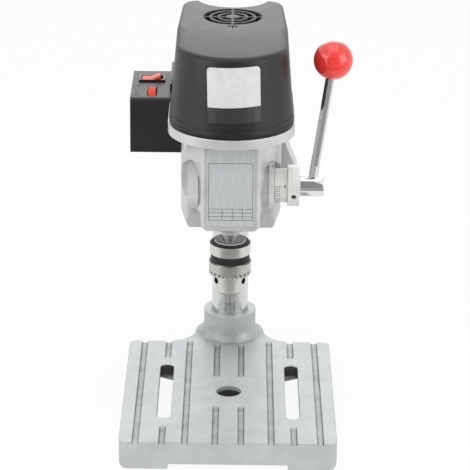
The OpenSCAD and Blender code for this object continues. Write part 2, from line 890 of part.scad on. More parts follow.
module pulley_bearing() {
  color(steel) translate([0, 0, floor_z - hub_bearing_t])
    tube(hub_bearing_t, hub_bearing_d / 2, drive_r + sleeve_wall + run_gap);
}

// Loop round both pulleys at the given distance outside their groove floors
function belt_r(start, sign, out) = start + sign * belt_step * step_drop - belt_t + out;

module belt_plan(out) {
  r1 = belt_r(big_step_r, -1, out);
  r2 = belt_r(small_step_r, 1, out);
  a = acos((r1 - r2) / motor_y);
  circle(r1);
  translate([0, motor_y]) circle(r2);
  polygon([[r1 * sin(a), r1 * cos(a)], [r2 * sin(a), motor_y + r2 * cos(a)],
    [-r2 * sin(a), motor_y + r2 * cos(a)], [-r1 * sin(a), r1 * cos(a)]]);
}

module belt() {
  low = pulley_z + belt_step * step_h + (step_h - belt_h) / 2;
  color(carbon) translate([0, 0, low]) linear_extrude(belt_h) difference() {
    belt_plan(belt_t - belt_sink);
    belt_plan(face_gap);
  }
}

// Motor pieces that stay with the casting
module motor_end_cap() {
  hub_r = motor_bearing_d / 2 + cap_hub_wall;
  color(cast_silver) at_motor(chamber_z) difference() {
    union() {
      cylinder(r = stator_r, h = end_cap_t);
      cylinder(r = hub_r, h = cap_floor + motor_bearing_t);
    }
    translate([0, 0, cap_floor]) cylinder(d = motor_bearing_d + 2 * seat_gap, h = motor_bearing_t + cut);
    translate([0, 0, -cut]) cylinder(r = motor_shaft_r + 1, h = end_cap_t + 2 * cut);
    for (a = [0:45:315]) rotate([0, 0, a]) translate([(hub_r + stator_r) / 2, 0, -cut])
      cylinder(r = 4, h = end_cap_t + 2 * cut);
  }
}

module motor_bearing(z) {
  color(steel) at_motor(z) tube(motor_bearing_t, motor_bearing_d / 2, motor_shaft_r + run_gap);
}

module motor_bearing_lower() {
  motor_bearing(lower_bearing_z);
}

module motor_bearing_upper() {
  motor_bearing(roof_z);
}

module stator() {
  color(steel) at_motor(stack_z) tube(stack_h, stator_r, armature_r + air_gap);
}

module field_coils() {
  color(copper) for (z = [coil_z, stack_z + stack_h]) at_motor(z) tube(coil_h, stator_r - 3, armature_r + 2);
}

// Places a pair of round pieces on the brush axis, running outwards from the commutator
module on_brushes(from) {
  for (s = [-1, 1]) translate([s * from, motor_y, brush_z]) rotate([0, s * 90, 0]) children();
}

function brush_end(s) = (s > 0 ? pad_x : chamber_half) - brush_cap_t;

module brush_holders() {
  start = comm_r + 2;
  color(brass) for (s = [-1, 1]) translate([s * start, motor_y, brush_z]) rotate([0, s * 90, 0])
    tube(brush_end(s) - start, holder_r, brush_r + run_gap);
}

module brushes() {
  color(carbon) on_brushes(comm_r + face_gap) cylinder(r = brush_r, h = brush_len);
}

module brush_springs() {
  start = comm_r + face_gap + brush_len;
  color(steel) for (s = [-1, 1]) translate([s * start, motor_y, brush_z]) rotate([0, s * 90, 0])
    tube(brush_end(s) - start, brush_r - 0.4, brush_r - 1.2);
}

module brush_caps() {
  color(black) for (s = [-1, 1]) translate([s * brush_end(s), motor_y, brush_z]) rotate([0, s * 90, 0])
    difference() {
      cylinder(r = holder_r, h = brush_cap_t);
      translate([-0.6, -holder_r - cut, brush_cap_t - 1.2]) cube([1.2, 2 * holder_r + 2 * cut, 2]);
    }
}

// Switch box
module box_envelope(inset) {
  translate([-box_out + inset, box_front + inset, box_z - cut]) {
    cube([box_out - box_in - 2 * inset, box_d - 2 * inset, box_h + cut - inset]);
    cube([box_out - box_reach - 2 * inset, box_d - 2 * inset, rim_z - face_gap - box_z + cut - inset]);
  }
}

module box_cuts() {
  translate([bezel_x, bezel_y, box_top - 2 * box_wall]) linear_extrude(4 * box_wall)
    square([bezel_l - 2 * bezel_rim, bezel_w - 2 * bezel_rim], center = true);
  translate([wheel_x, wheel_y, box_top - 2 * box_wall]) linear_extrude(4 * box_wall)
    square([wheel_w + 4 * face_gap, wheel_slot_l], center = true);
  translate([box_mid_x, box_back - 2 * box_wall, box_z + box_h / 2]) rotate([-90, 0, 0])
    cylinder(r = gland_r + seat_gap, h = 4 * box_wall);
  for (z = box_screw_zs) translate([-box_out + box_wall, motor_y, z]) rotate([0, 90, 0])
    cylinder(r = box_screw_r + seat_gap, h = box_out);
}

// Waste outside the box's rounded upper front edge
module box_front_edge() {
  translate([-box_out - cut, box_front + box_edge_r, box_top - box_edge_r]) rotate([0, 90, 0]) difference() {
    translate([-box_edge_r - cut, -box_edge_r - cut, 0]) cube([box_edge_r + cut, box_edge_r + cut, box_out]);
    translate([0, 0, -cut]) cylinder(r = box_edge_r, h = box_out + 2 * cut);
  }
}

// Room for the cover's side above the tray
module cover_room() {
  near = box_front - cut;
  translate([0, 0, tray_top]) linear_extrude(box_rise + upstand_h + cut) polygon([[0, near],
    [-cover_r - face_gap, near], [-cover_back_w / 2 - face_gap, cover_back_y], [0, cover_back_y]]);
}

module switch_box() {
  color(black) difference() {
    union() {
      box_envelope(0);
      translate([-box_in - upstand_t, box_front + upstand_set, box_top - cut])
        cube([upstand_t, box_d - upstand_set, upstand_h + cut]);
    }
    box_envelope(box_wall);
    translate([-box_out, box_front - cut, box_z - 2 * cut]) cube([box_out, box_d + 2 * cut, 2 * cut]);
    box_cuts();
    box_front_edge();
    cover_room();
  }
}

module switch_box_lid() {
  inset = box_wall + lid_gap;
  color(black) intersection() {
    box_envelope(inset);
    translate([-box_out, box_front, box_z]) cube([box_out, box_d, box_wall]);
  }
}

module switch_box_screws() {
  head_x = box_reach + box_wall;
  color(steel) for (z = box_screw_zs) translate([-head_x, motor_y, z]) rotate([0, 90, 0]) {
    translate([0, 0, -2]) cylinder(r = 2 * box_screw_r, h = 2);
    cylinder(r = box_screw_r, h = head_x - chamber_half + box_screw_in - 0.5);
  }
}

module switch_housing() {
  color(black) translate([bezel_x, bezel_y, 0]) difference() {
    union() {
      translate([0, 0, box_top]) linear_extrude(bezel_t) square([bezel_l, bezel_w], center = true);
      translate([0, 0, box_top - housing_h]) linear_extrude(housing_h + bezel_t / 2)
        square([bezel_l - 2 * bezel_rim - 2 * lid_gap, bezel_w - 2 * bezel_rim - 2 * lid_gap], center = true);
    }
    translate([0, 0, box_top - well_h]) linear_extrude(well_h + 2 * bezel_t)
      square([2 * well_half, rocker_w + 2 * face_gap], center = true);
  }
}

// Potentiometer and its board on the box's outer wall
module speed_control() {
  board_x = wheel_x - wheel_w / 2 - face_gap - control_t;
  inner_x = -box_out + box_wall;
  color(board_green) {
    translate([inner_x, box_front + box_wall + control_t, box_z + box_wall + face_gap])
      cube([board_x - inner_x - control_t, box_d / 2, board_t]);
    translate([inner_x, wheel_y - pot_r, box_z + box_wall + face_gap])
      cube([board_x - inner_x, 2 * pot_r, wheel_z + pot_r - box_z - box_wall]);
    translate([board_x - cut, wheel_y, wheel_z]) rotate([0, 90, 0])
      cylinder(r = axle_r, h = cut + control_t + face_gap + wheel_w);
  }
}

module cable_gland() {
  barrel = 2 * box_wall;
  color(black) translate([box_mid_x, box_back - barrel, box_z + box_h / 2]) rotate([-90, 0, 0])
    difference() {
      union() {
        cylinder(r = gland_r, h = barrel + cut);
        translate([0, 0, barrel]) cylinder(r = gland_r + gland_flange, h = gland_t);
      }
      translate([0, 0, -cut]) cylinder(r = gland_r / 2, h = barrel + gland_t + 2 * cut);
    }
}

// Belt cover
module cover_level(inset, z, dip, shift) {
  translate([0, shift, z - dip]) cylinder(r = cover_r - inset, h = slab, $fn = 48);
  translate([0, cover_flat_y, z]) cylinder(r = cover_r - inset, h = slab, $fn = 48);
  for (s = [-1, 1])
    translate([s * (cover_back_w / 2 - inset - horn_r), cover_back_y - horn_r - min(inset, 1), z])
      cylinder(r = horn_r, h = slab, $fn = 32);
}

// Full cover form, drawn in by a wall all round
module cover_form(wall) {
  shoulder = cover_h - cover_round;
  hull() {
    cover_level(wall, tray_top, 0, 0);
    for (i = [0:round_steps]) {
      a = 90 * i / round_steps;
      rise = shoulder + cover_round * sin(a) - wall;
      edge = cover_round * (1 - cos(a));
      share = rise / cover_h;
      cover_level(wall + cover_taper * share + edge, tray_top + rise - slab, cover_dip * share,
        cover_front_taper * share);
    }
  }
}

module grille() {
  for (i = [0:grille_rings - 1]) difference() {
    outer = grille_r - i * grille_pitch;
    translate([0, grille_y, cover_top - cover_h / 2]) tube(cover_h, outer, outer - grille_slot);
    for (a = [0, 90]) translate([0, grille_y, cover_top]) rotate([0, 0, a])
      cube([2 * grille_r + 2, spoke_w, 2 * cover_h], center = true);
  }
}

module belt_cover() {
  color(black) difference() {
    cover_form(0);
    difference() {
      translate([0, 0, -slab]) cover_form(cover_wall);
      at_hollow(tray_top - cut) cylinder(r = cover_arc_r + cover_wall, h = 2 * cover_h);
    }
    at_hollow(tray_top - cut) cylinder(r = cover_arc_r, h = 2 * cover_h);
    grille();
    translate([0, post_y, screw_seat_z]) cylinder(r = screw_head_r + 2 * face_gap, h = cover_h);
    translate([0, post_y, cover_top - cover_h / 2]) cylinder(r = screw_r + face_gap, h = cover_h);
  }
}

module cover_screw() {
  notch = 1;
  color(steel) translate([0, post_y, screw_seat_z]) difference() {
    union() {
      cylinder(r = screw_head_r, h = screw_head_h);
      translate([0, 0, -screw_len]) cylinder(r = screw_r, h = screw_len + cut);
    }
    translate([-notch / 2, -screw_head_r - cut, screw_head_h - notch])
      cube([notch, 2 * screw_head_r + 2 * cut, 2 * notch]);
  }
}

// Switches
module rocker() {
  color(red) translate([bezel_x, bezel_y + rocker_w / 2, rocker_pivot_z]) rotate([90, 0, 0])
    rotate([0, 0, rocker_tilt]) linear_extrude(rocker_w) polygon([[-rocker_half, -rocker_low],
      [rocker_half, -rocker_low], [rocker_half, rocker_top], [0, rocker_top - rocker_hollow],
      [-rocker_half, rocker_top]]);
}

module speed_wheel() {
  notch = 0.8;
  color(red) translate([wheel_x - wheel_w / 2, wheel_y, wheel_z]) rotate([0, 90, 0]) difference() {
    cylinder(r = wheel_r, h = wheel_w);
    translate([0, 0, -cut]) cylinder(r = axle_r + run_gap, h = wheel_w + 2 * cut);
    for (a = [0:15:345]) rotate([0, 0, a]) translate([wheel_r + notch / 4, 0, -cut])
      cylinder(r = notch, h = wheel_w + 2 * cut);
  }
}

// Motor rotor
module motor_shaft() {
  shaft_top = pulley_z + pulley_h + shaft_end;
  color(steel) at_motor(lower_bearing_z) cylinder(r = motor_shaft_r, h = shaft_top - lower_bearing_z);
}

module armature() {
  color(steel) at_motor(stack_z) tube(stack_h, armature_r, motor_shaft_r + seat_gap);
  color(copper) for (z = [coil_z + 1, stack_z + stack_h]) at_motor(z)
    tube(coil_h - 1, armature_r - 4, motor_shaft_r + seat_gap);
}

module commutator() {
  bars = 16;
  color(copper) at_motor(comm_z) difference() {
    tube(comm_h, comm_r, motor_shaft_r + seat_gap);
    for (i = [0:bars - 1]) rotate([0, 0, 360 * i / bars]) translate([comm_r - 1, -0.3, -cut])
      cube([2, 0.6, comm_h + 2 * cut]);
  }
}

module fan() {
  fan_r = stator_r - 4;
  blades = 9;
  color(black) at_motor(fan_z) {
    tube(1.6, fan_r, motor_shaft_r + seat_gap);
    tube(fan_h, motor_shaft_r + 4, motor_shaft_r + seat_gap);
    for (i = [0:blades - 1]) rotate([0, 0, 360 * i / blades]) translate([motor_shaft_r + 3, -0.8, 0.5])
      cube([fan_r - motor_shaft_r - 4, 1.6, fan_h - 0.5]);
  }
}

// Stepped pulley with a belt groove in every step
module stepped_pulley(start, sign, bore) {
  difference() {
    for (i = [0:steps - 1]) {
      r = start + sign * i * step_drop;
      floor_r = r - belt_t;
      top = i * step_h;
      translate([0, 0, pulley_z]) rotate_extrude() polygon([[0, top], [r, top], [r, top + rim_lip],
        [floor_r, top + rim_lip + 0.2], [floor_r, top + step_h - rim_lip - 0.2],
        [r, top + step_h - rim_lip], [r, top + step_h], [0, top + step_h]]);
    }
    translate([0, 0, pulley_z - cut]) cylinder(r = bore, h = pulley_h + 2 * cut);
  }
}

module motor_pulley() {
  color(cast_silver) at_motor(0) stepped_pulley(small_step_r, 1, motor_shaft_r + seat_gap);
}

// Flatted drive section of the spindle and of the pulley hole that it slides in
module drive_section(r, flat, h) {
  intersection() {
    cylinder(r = r, h = h);
    translate([-flat, -2 * r, 0]) cube([2 * flat, 4 * r, h]);
  }
}

module spindle_pulley() {
  sleeve_r = drive_r + sleeve_wall;
  low = floor_z - hub_bearing_t - 1;
  color(cast_silver) difference() {
    union() {
      stepped_pulley(big_step_r, -1, drive_r);
      translate([0, 0, low]) cylinder(r = sleeve_r, h = pulley_z - low + 2);
    }
    translate([0, 0, low - cut])
      drive_section(drive_r + run_gap, drive_flat + run_gap, pulley_z + pulley_h - low + 2 * cut);
  }
}

// Quill with the rack cut into its back
module rack_spaces() {
  root_y = rack_pitch_y - rack_ded;
  tip_y = quill_r + cut;
  count = ceil((quill_travel + 3 * pinion_r) / tooth_pitch / 2) * 2;
  first = -ceil(1.5 * pinion_r / tooth_pitch);
  half_at = tooth_pitch / 4 + backlash / 2;
  slope = tan(pressure);
  for (i = [first:first + count]) translate([-quill_d, 0, feed_z + i * tooth_pitch]) rotate([90, 0, 90])
    linear_extrude(2 * quill_d) polygon([
      [root_y, -(half_at - slope * rack_ded)], [tip_y, -(half_at + slope * (tip_y - rack_pitch_y))],
      [tip_y, half_at + slope * (tip_y - rack_pitch_y)], [root_y, half_at - slope * rack_ded]]);
}

module rack_flat() {
  low = feed_z - 2 * pinion_r;
  translate([-quill_d, rack_pitch_y + rack_add, low])
    cube([2 * quill_d, quill_d, quill_travel + 4 * pinion_r]);
}

module quill() {
  color(bright) difference() {
    translate([0, 0, quill_z]) cylinder(r = quill_r, h = quill_len);
    intersection() {
      rack_spaces();
      translate([-quill_r, 0, quill_z + bearing_t]) cube([quill_d, quill_d, quill_len - 2 * bearing_t]);
    }
    intersection() {
      rack_flat();
      translate([-quill_r, 0, quill_z + bearing_t]) cube([quill_d, quill_d, quill_len - 2 * bearing_t]);
    }
    translate([0, 0, quill_z - cut]) cylinder(r = spindle_r + 1, h = quill_len + 2 * cut);
    for (z = [quill_z - cut, quill_z + quill_len - bearing_t])
      translate([0, 0, z]) cylinder(d = bearing_od + 2 * seat_gap, h = bearing_t + cut);
  }
}

module quill_bearing(z) {
  color(steel) translate([0, 0, z]) tube(bearing_t, bearing_od / 2, spindle_r + run_gap);
}

module quill_bearing_lower() {
  quill_bearing(quill_z);
}

module quill_bearing_upper() {
  quill_bearing(quill_z + quill_len - bearing_t);
}

// Spindle and chuck
module spindle() {
  quill_top = quill_z + quill_len;
  color(bright) union() {
    translate([0, 0, chuck_top - taper_len])
      cylinder(r1 = taper_r, r2 = spindle_r, h = taper_len + face_gap);
    translate([0, 0, chuck_top + face_gap])
      cylinder(r = spindle_r + neck_wall, h = quill_z - 2 * face_gap - chuck_top);
    translate([0, 0, chuck_top + nose_neck])
      cylinder(r1 = nose_d / 2, r2 = spindle_r + neck_wall / 2, h = nose_flare_h);
    translate([0, 0, chuck_top])
      cylinder(r = spindle_r, h = quill_top + spindle_shoulder - chuck_top);
    translate([0, 0, quill_top]) drive_section(drive_r, drive_flat, spindle_top - quill_top);
  }
}

module jaw_rod(i, r, extra) {
  rotate([0, 0, i]) translate([jaw_start_r, 0, jaw_tip_z]) rotate([0, jaw_tilt, 0])
    translate([0, 0, -extra]) cylinder(r = r, h = jaw_len + jaw_travel + 2 * extra);
}

module chuck_body() {
  rim_top = chuck_top - crown_h;
  color(bright) difference() {
    rotate_extrude() polygon([[0, chuck_top], [crown_core_r, chuck_top], [crown_r, rim_top],
      [chuck_d / 2 - rim_slope_w, rim_top], [chuck_d / 2, rim_top - rim_slope_h],
      [chuck_d / 2, chuck_top - band_h], [core_r, chuck_top - band_h], [core_r, sleeve_z - face_gap],
      [core_r - 0.5, chuck_bottom + nose_cone_h], [chuck_tip_r, chuck_bottom], [0, chuck_bottom]]);
    translate([0, 0, chuck_top - taper_len]) cylinder(r1 = taper_r + seat_gap, r2 = spindle_r + seat_gap,
      h = taper_len + face_gap);
    translate([0, 0, chuck_top - taper_len - 1]) cylinder(r = taper_r + seat_gap, h = 1 + cut / 2);
    translate([0, 0, chuck_bottom - cut])
      cylinder(r = jaw_start_r + jaw_d / 2 - 0.8, h = chuck_len - taper_len - 4);
    for (a = jaw_angles) {
      jaw_rod(a, jaw_d / 2 + run_gap, 2);
      rotate([0, 0, a + 180]) translate([core_r - 5, 0, chuck_bottom + chuck_len / 4]) rotate([0, 90, 0])
        cylinder(r = 2.6, h = 10);
    }
  }
}

module chuck_sleeve() {
  teeth = 24;
  tooth_h = 3;
  knurl_r = sleeve_d / 2 - 1.4;
  color(steel) difference() {
    translate([0, 0, sleeve_z]) union() {
      cylinder(d = sleeve_d, h = sleeve_h - knurl_h);
      cylinder(r = knurl_r, h = sleeve_h);
    }
    translate([0, 0, sleeve_z - cut]) cylinder(r = core_r + run_gap, h = sleeve_h + 2 * cut);
    translate([0, 0, sleeve_z + nut_z]) cylinder(r = core_r + nut_gap, h = sleeve_h - nut_z - tooth_h);
    for (i = [0:teeth - 1]) rotate([0, 0, 360 * i / teeth]) translate([core_r, -1, sleeve_z - cut])
      cube([sleeve_d, 2, tooth_h + cut]);
  }
}

module jaw(angle) {
  far = 4 * jaw_d;
  color(steel) intersection() {
    rotate([0, 0, angle]) translate([jaw_start_r, 0, jaw_tip_z]) rotate([0, jaw_tilt, 0])
      translate([0, 0, -far / 2]) cylinder(r = jaw_d / 2, h = jaw_len + far / 2);
    rotate([0, 0, angle]) translate([0, 0, jaw_tip_z]) linear_extrude(2 * jaw_len)
      polygon([[jaw_gap, 0], [far, (far - jaw_gap) * tan(60)], [far, -(far - jaw_gap) * tan(60)]]);
    translate([0, 0, jaw_tip_z]) union() {
      cylinder(r1 = 2.6, r2 = far, h = far);
      translate([0, 0, far - slab]) cylinder(r = far, h = 2 * jaw_len);
    }
  }
}

module jaw_front() {
  jaw(jaw_angles[0]);
}

module jaw_right() {
  jaw(jaw_angles[1]);
}

module jaw_left() {
  jaw(jaw_angles[2]);
}

// Feed shaft, lever and depth stop
function involute(t, base_r) = base_r * [cos(t) + t * PI / 180 * sin(t), sin(t) - t * PI / 180 * cos(t)];

// Flank points of one pinion tooth, in degrees round the tooth's middle
function flank(base_r, tip_r, half) =
  let (t_max = sqrt(pow(tip_r / base_r, 2) - 1) * 180 / PI, n = 6)
  [for (i = [0:n]) let (p = involute(t_max * i / n, base_r)) [norm(p), half - atan2(p[1], p[0])]];

module pinion_plan() {
  base_r = pinion_r * cos(pressure);
  tip_r = pinion_r + pinion_add;
  root_r = pinion_r - pinion_ded;
  inv_pitch = (tan(pressure) - pressure * PI / 180) * 180 / PI;
  half = 90 / pinion_teeth - backlash / pinion_r * 45 / PI + inv_pitch;
  side = flank(base_r, tip_r, half);
  last = len(side) - 1;
  circle(root_r);
  for (i = [0:pinion_teeth - 1]) rotate(360 * i / pinion_teeth) polygon(concat(
    [[0, 0], (root_r - 0.2) * [cos(half), -sin(half)]],
    [for (k = [0:last]) side[k][0] * [cos(side[k][1]), -sin(side[k][1])]],
    [for (k = [last:-1:0]) side[k][0] * [cos(side[k][1]), sin(side[k][1])]],
    [(root_r - 0.2) * [cos(half), sin(half)]]));
}

module feed_shaft() {
  left_end = -boss_left_x - spring_cap_t + spring_wall + face_gap;
  color(steel) {
    on_feed_axis(left_end) cylinder(r = min(shaft_r, pinion_r - pinion_ded), h = hub_x + hub_w - left_end);
    on_feed_axis(pinion_half) cylinder(r = shaft_r, h = hub_x + hub_w - pinion_half);
    on_feed_axis(-pinion_half) linear_extrude(2 * pinion_half) rotate(-90) pinion_plan();
  }
}

// Places its children on the lever's axis, with +Z along the rod
module on_lever() {
  translate([lever_x, feed_y, feed_z]) rotate([0, lever_lean, 0]) children();
}

module feed_hub() {
  color(bright) difference() {
    on_feed_axis(hub_x) cylinder(d = hub_d, h = hub_w);
    on_feed_axis(hub_x - cut) cylinder(r = shaft_r + seat_gap, h = hub_w + 2 * cut);
    on_lever() cylinder(r = lever_d / 2 + seat_gap, h = hub_d);
  }
}

module feed_lever() {
  start = shaft_r + 0.6;
  color(bright) on_lever() translate([0, 0, start]) cylinder(d = lever_d, h = lever_reach - start);
}

module lever_ball() {
  color(red) on_lever() difference() {
    translate([0, 0, lever_reach]) sphere(d = ball_d);
    cylinder(r = lever_d / 2 + seat_gap, h = lever_reach);
    cylinder(d = ball_d, h = lever_reach - ball_d / 2 + 0.8);
  }
}

module depth_dial() {
  color(steel) on_feed_axis(dial_x) tube(dial_w, dial_d / 2, shaft_r + run_gap);
}

module stop_collar() {
  color(steel) difference() {
    on_feed_axis(stop_x) tube(stop_w, stop_d / 2, shaft_r + run_gap);
    stop_hole(seat_gap, shaft_r, stop_d);
  }
}

// Radial hole or screw in the stop collar, towards the lower front
module stop_hole(gap, from, to) {
  on_feed_axis(stop_x + stop_w / 2) rotate([0, 0, stop_turn]) rotate([90, 0, 0]) translate([0, 0, from])
    cylinder(r = stop_screw_r + gap, h = to - from);
}

module stop_screw() {
  color(carbon) stop_hole(0, shaft_r + face_gap, stop_d / 2 - stop_screw_r);
}

base();
column_set_screw();
column();
column_cap();
head_casting();
front_plate();
clamp_bolts();
feed_bush();
spring_cap();
return_spring();
cover_post();
pulley_bearing();
belt();
motor_end_cap();
motor_bearing_lower();
motor_bearing_upper();
stator();
field_coils();
brush_holders();
brushes();
brush_springs();
brush_caps();
switch_box();
switch_box_lid();
switch_box_screws();
switch_housing();
speed_control();
cable_gland();
belt_cover();
cover_screw();
rocker();
speed_wheel();
motor_shaft();
armature();
commutator();
fan();
motor_pulley();
spindle_pulley();
quill();
quill_bearing_lower();
quill_bearing_upper();
spindle();
chuck_body();
chuck_sleeve();
jaw_front();
jaw_right();
jaw_left();
feed_shaft();
feed_hub();
feed_lever();
lever_ball();
depth_dial();
stop_collar();
stop_screw();
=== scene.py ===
"""Benchtop drill press: fine parts, finishes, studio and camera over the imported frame.

Sizes are in millimetres in the row frame: the origin is on the floor under the spindle, +X is the lever
side, +Y points from the table to the column and +Z is up.
"""

import logging
import math
from collections.abc import Iterable, Sequence
from dataclasses import dataclass
from enum import Enum

import bmesh
import bpy
from mathutils import Matrix, Vector
from mathutils.bvhtree import BVHTree


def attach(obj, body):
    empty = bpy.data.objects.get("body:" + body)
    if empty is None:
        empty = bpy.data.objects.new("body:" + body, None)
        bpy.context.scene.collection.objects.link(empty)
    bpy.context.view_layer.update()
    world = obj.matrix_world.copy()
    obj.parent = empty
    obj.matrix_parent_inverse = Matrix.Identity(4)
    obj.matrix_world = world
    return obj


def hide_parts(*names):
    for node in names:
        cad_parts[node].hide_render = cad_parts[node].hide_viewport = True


MM = 0.001
LOG = logging.getLogger("drill_press")

Colour = tuple[float, float, float]
Point = tuple[float, float, float]
Span = tuple[float, float]
Profile = Sequence[Span]
Socket = bpy.types.NodeSocket
Value = float | Sequence[float] | Socket
Inputs = dict[str | int, Value]

FEED: Point = (0.0, 21.0, 188.0)
MOTOR: Point = (0.0, 66.0, 200.0)
BACK: Point = (0.0, 1.0, 0.0)
UP: Point = (0.0, 0.0, 1.0)
WHITE: Colour = (1.0, 1.0, 1.0)

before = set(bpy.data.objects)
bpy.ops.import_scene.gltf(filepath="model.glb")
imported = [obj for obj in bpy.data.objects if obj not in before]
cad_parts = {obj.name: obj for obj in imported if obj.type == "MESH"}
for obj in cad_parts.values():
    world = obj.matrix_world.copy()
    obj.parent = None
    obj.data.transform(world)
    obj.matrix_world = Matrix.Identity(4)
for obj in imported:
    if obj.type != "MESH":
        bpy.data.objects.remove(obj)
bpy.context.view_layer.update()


class Along(Enum):
    """Direction of a turned piece's axis or of a pattern."""

    X = (0.0, math.radians(90), 0.0)
    Y = (math.radians(-90), 0.0, 0.0)
    Z = (0.0, 0.0, 0.0)

    def matrix(self, centre: Point = (0.0, 0.0, 0.0)) -> Matrix:
        """Gives the move that lays the Z axis along this direction through centre."""
        turn = Matrix.Rotation(self.value[1], 4, "Y") @ Matrix.Rotation(self.value[0], 4, "X")
        return Matrix.Translation(centre) @ turn


class Graph:
    """A node tree in the making."""

    def __init__(self, tree: bpy.types.NodeTree) -> None:
        """Takes the tree that nodes are added to."""
        self.tree = tree

    def add(self, kind: str, inputs: Inputs | None = None, **settings: object) -> bpy.types.Node:
        """Adds a node.

        Args:
            kind: The node's type name.
            inputs: Values or sockets for its inputs, by name or number.
            settings: Values for the node's own properties.

        Returns:
            The new node.
        """
        node = self.tree.nodes.new(kind)
        for key, value in settings.items():
            setattr(node, key, value)
        self.fill(node, inputs or {})
        return node

    def fill(self, node: bpy.types.Node, inputs: Inputs) -> None:
        """Sets or links a node's inputs.

        Args:
            node: The node.
            inputs: Values or sockets, by the input's name or number.
        """
        for key, value in inputs.items():
            if isinstance(value, Socket):
                self.tree.links.new(value, node.inputs[key])
            else:
                node.inputs[key].default_value = value

    def math(self, kind: str, *values: float | Socket) -> Socket:
        """Adds a Math node with numbers or sockets in its inputs."""
        return self.add("ShaderNodeMath", dict(enumerate(values)), operation=kind).outputs["Value"]

    def seen(self) -> Socket:
        """Gives a mask that is 1 for what the camera and bright metal see.

        Returns:
            The mask.
        """
        rays = self.add("ShaderNodeLightPath").outputs
        straight = self.math("MAXIMUM", rays["Is Camera Ray"], rays["Is Glossy Ray"])
        return self.math("MAXIMUM", straight, rays["Is Transmission Ray"])


class Surface(Graph):
    """The node tree of one material, with a principled surface at its end."""

    def __init__(self, name: str) -> None:
        """Starts a material.

        Args:
            name: The material's name.
        """
        self.material = bpy.data.materials.new(name)
        self.material.use_nodes = True
        super().__init__(self.material.node_tree)
        self.tree.nodes.clear()
        self.surface = self.add("ShaderNodeBsdfPrincipled")
        self.output = self.add("ShaderNodeOutputMaterial", {"Surface": self.surface.outputs["BSDF"]})

    def put(self, inputs: Inputs) -> None:
        """Sets or links inputs of the principled surface."""
        self.fill(self.surface, inputs)

    def places(self, centre: Point = (0.0, 0.0, 0.0), along: Along = Along.Z) -> Socket:
        """Gives object coordinates in millimetres from a centre, with their Z along an axis."""
        inputs = {"Vector": self.add("ShaderNodeTexCoord").outputs["Object"], "Location": Vector(centre) * MM,
                  "Rotation": along.value, "Scale": (MM, MM, MM)}
        return self.add("ShaderNodeMapping", inputs, vector_type="TEXTURE").outputs["Vector"]

    def noise(self, places: Socket, size: float, detail: float, stretch: Point = (1.0, 1.0, 1.0)) -> Socket:
        """Adds a cloudy pattern from 0 to 1.

        Args:
            places: Coordinates in millimetres.
            size: Size of a patch in millimetres.
            detail: How many finer octaves are added.
            stretch: How much longer a patch is along each axis.

        Returns:
            The pattern.
        """
        scale = [1.0 / (size * share) for share in stretch]
        spread = self.add("ShaderNodeVectorMath", {0: places, 1: scale}, operation="MULTIPLY")
        inputs = {"Vector": spread.outputs["Vector"], "Scale": 1.0, "Detail": detail}
        return self.add("ShaderNodeTexNoise", inputs).outputs["Fac"]

    def parts(self, places: Socket) -> tuple[Socket, ...]:
        """Splits a vector into its three sockets."""
        return tuple(self.add("ShaderNodeSeparateXYZ", {"Vector": places}).outputs)

    def vector(self, *values: float | Socket) -> Socket:
        """Makes a vector of three numbers or sockets."""
        return self.add("ShaderNodeCombineXYZ", dict(enumerate(values))).outputs["Vector"]

    def total(self, *terms: tuple[Socket, float]) -> Socket:
        """Adds up patterns.

        Args:
            terms: Each pattern and its weight; a weight of 0 leaves it out.

        Returns:
            The sum.
        """
        result = 0.0
        for pattern, weight in terms:
            result = self.math("MULTIPLY_ADD", pattern, weight, result) if weight else result
        return result

    def paint(self, factor: Socket, colour: Colour, *stops: Span) -> None:
        """Colours the surface by a factor.

        Args:
            factor: A pattern from 0 to 1.
            colour: The finish's own colour.
            stops: Places on the ramp and how light the colour is there, two or more.
        """
        node = self.add("ShaderNodeValToRGB", {"Fac": factor})
        ramp = node.color_ramp.elements
        while len(ramp) < len(stops):
            ramp.new(0.5)
        for element, (place, share) in zip(ramp, stops):
            element.position = place
            element.color = (*(min(1.0, part * share) for part in colour), 1.0)
        self.put({"Base Color": node.outputs["Color"]})

    def roughen(self, factor: Socket, low: float, high: float) -> None:
        """Lets the roughness follow a pattern from 0 to 1, between two values."""
        inputs = {"Value": factor, "From Min": 0.3, "From Max": 0.7, "To Min": low, "To Max": high}
        self.put({"Roughness": self.add("ShaderNodeMapRange", inputs).outputs["Result"]})

    def relief(self, height: Socket, depth: float, edge: float) -> Socket:
        """Raises a fine relief over softened edges.

        Args:
            height: A pattern from 0 to 1.
            depth: Height of the relief in millimetres.
            edge: Radius of the softened edges in millimetres.

        Returns:
            A mask that is 0 on flat faces and rises along the edges.
        """
        soft = self.add("ShaderNodeBevel", {"Radius": edge * MM}, samples=6).outputs["Normal"]
        bump = self.add("ShaderNodeBump", {"Distance": depth * MM, "Height": height, "Normal": soft})
        self.put({"Normal": bump.outputs["Normal"]})
        hard = self.add("ShaderNodeNewGeometry").outputs["Normal"]
        facing = self.add("ShaderNodeVectorMath", {0: soft, 1: hard}, operation="DOT_PRODUCT")
        return self.math("SUBTRACT", 1.0, facing.outputs["Value"])

    def hollows(self, reach: float) -> Socket:
        """Gives an occlusion mask for painted shade, which rises from 0 beside walls that are within reach,
        in millimetres.
        """
        node = self.add("ShaderNodeAmbientOcclusion", {"Distance": reach * MM}, samples=8, only_local=True)
        return self.math("SUBTRACT", 1.0, node.outputs["AO"])


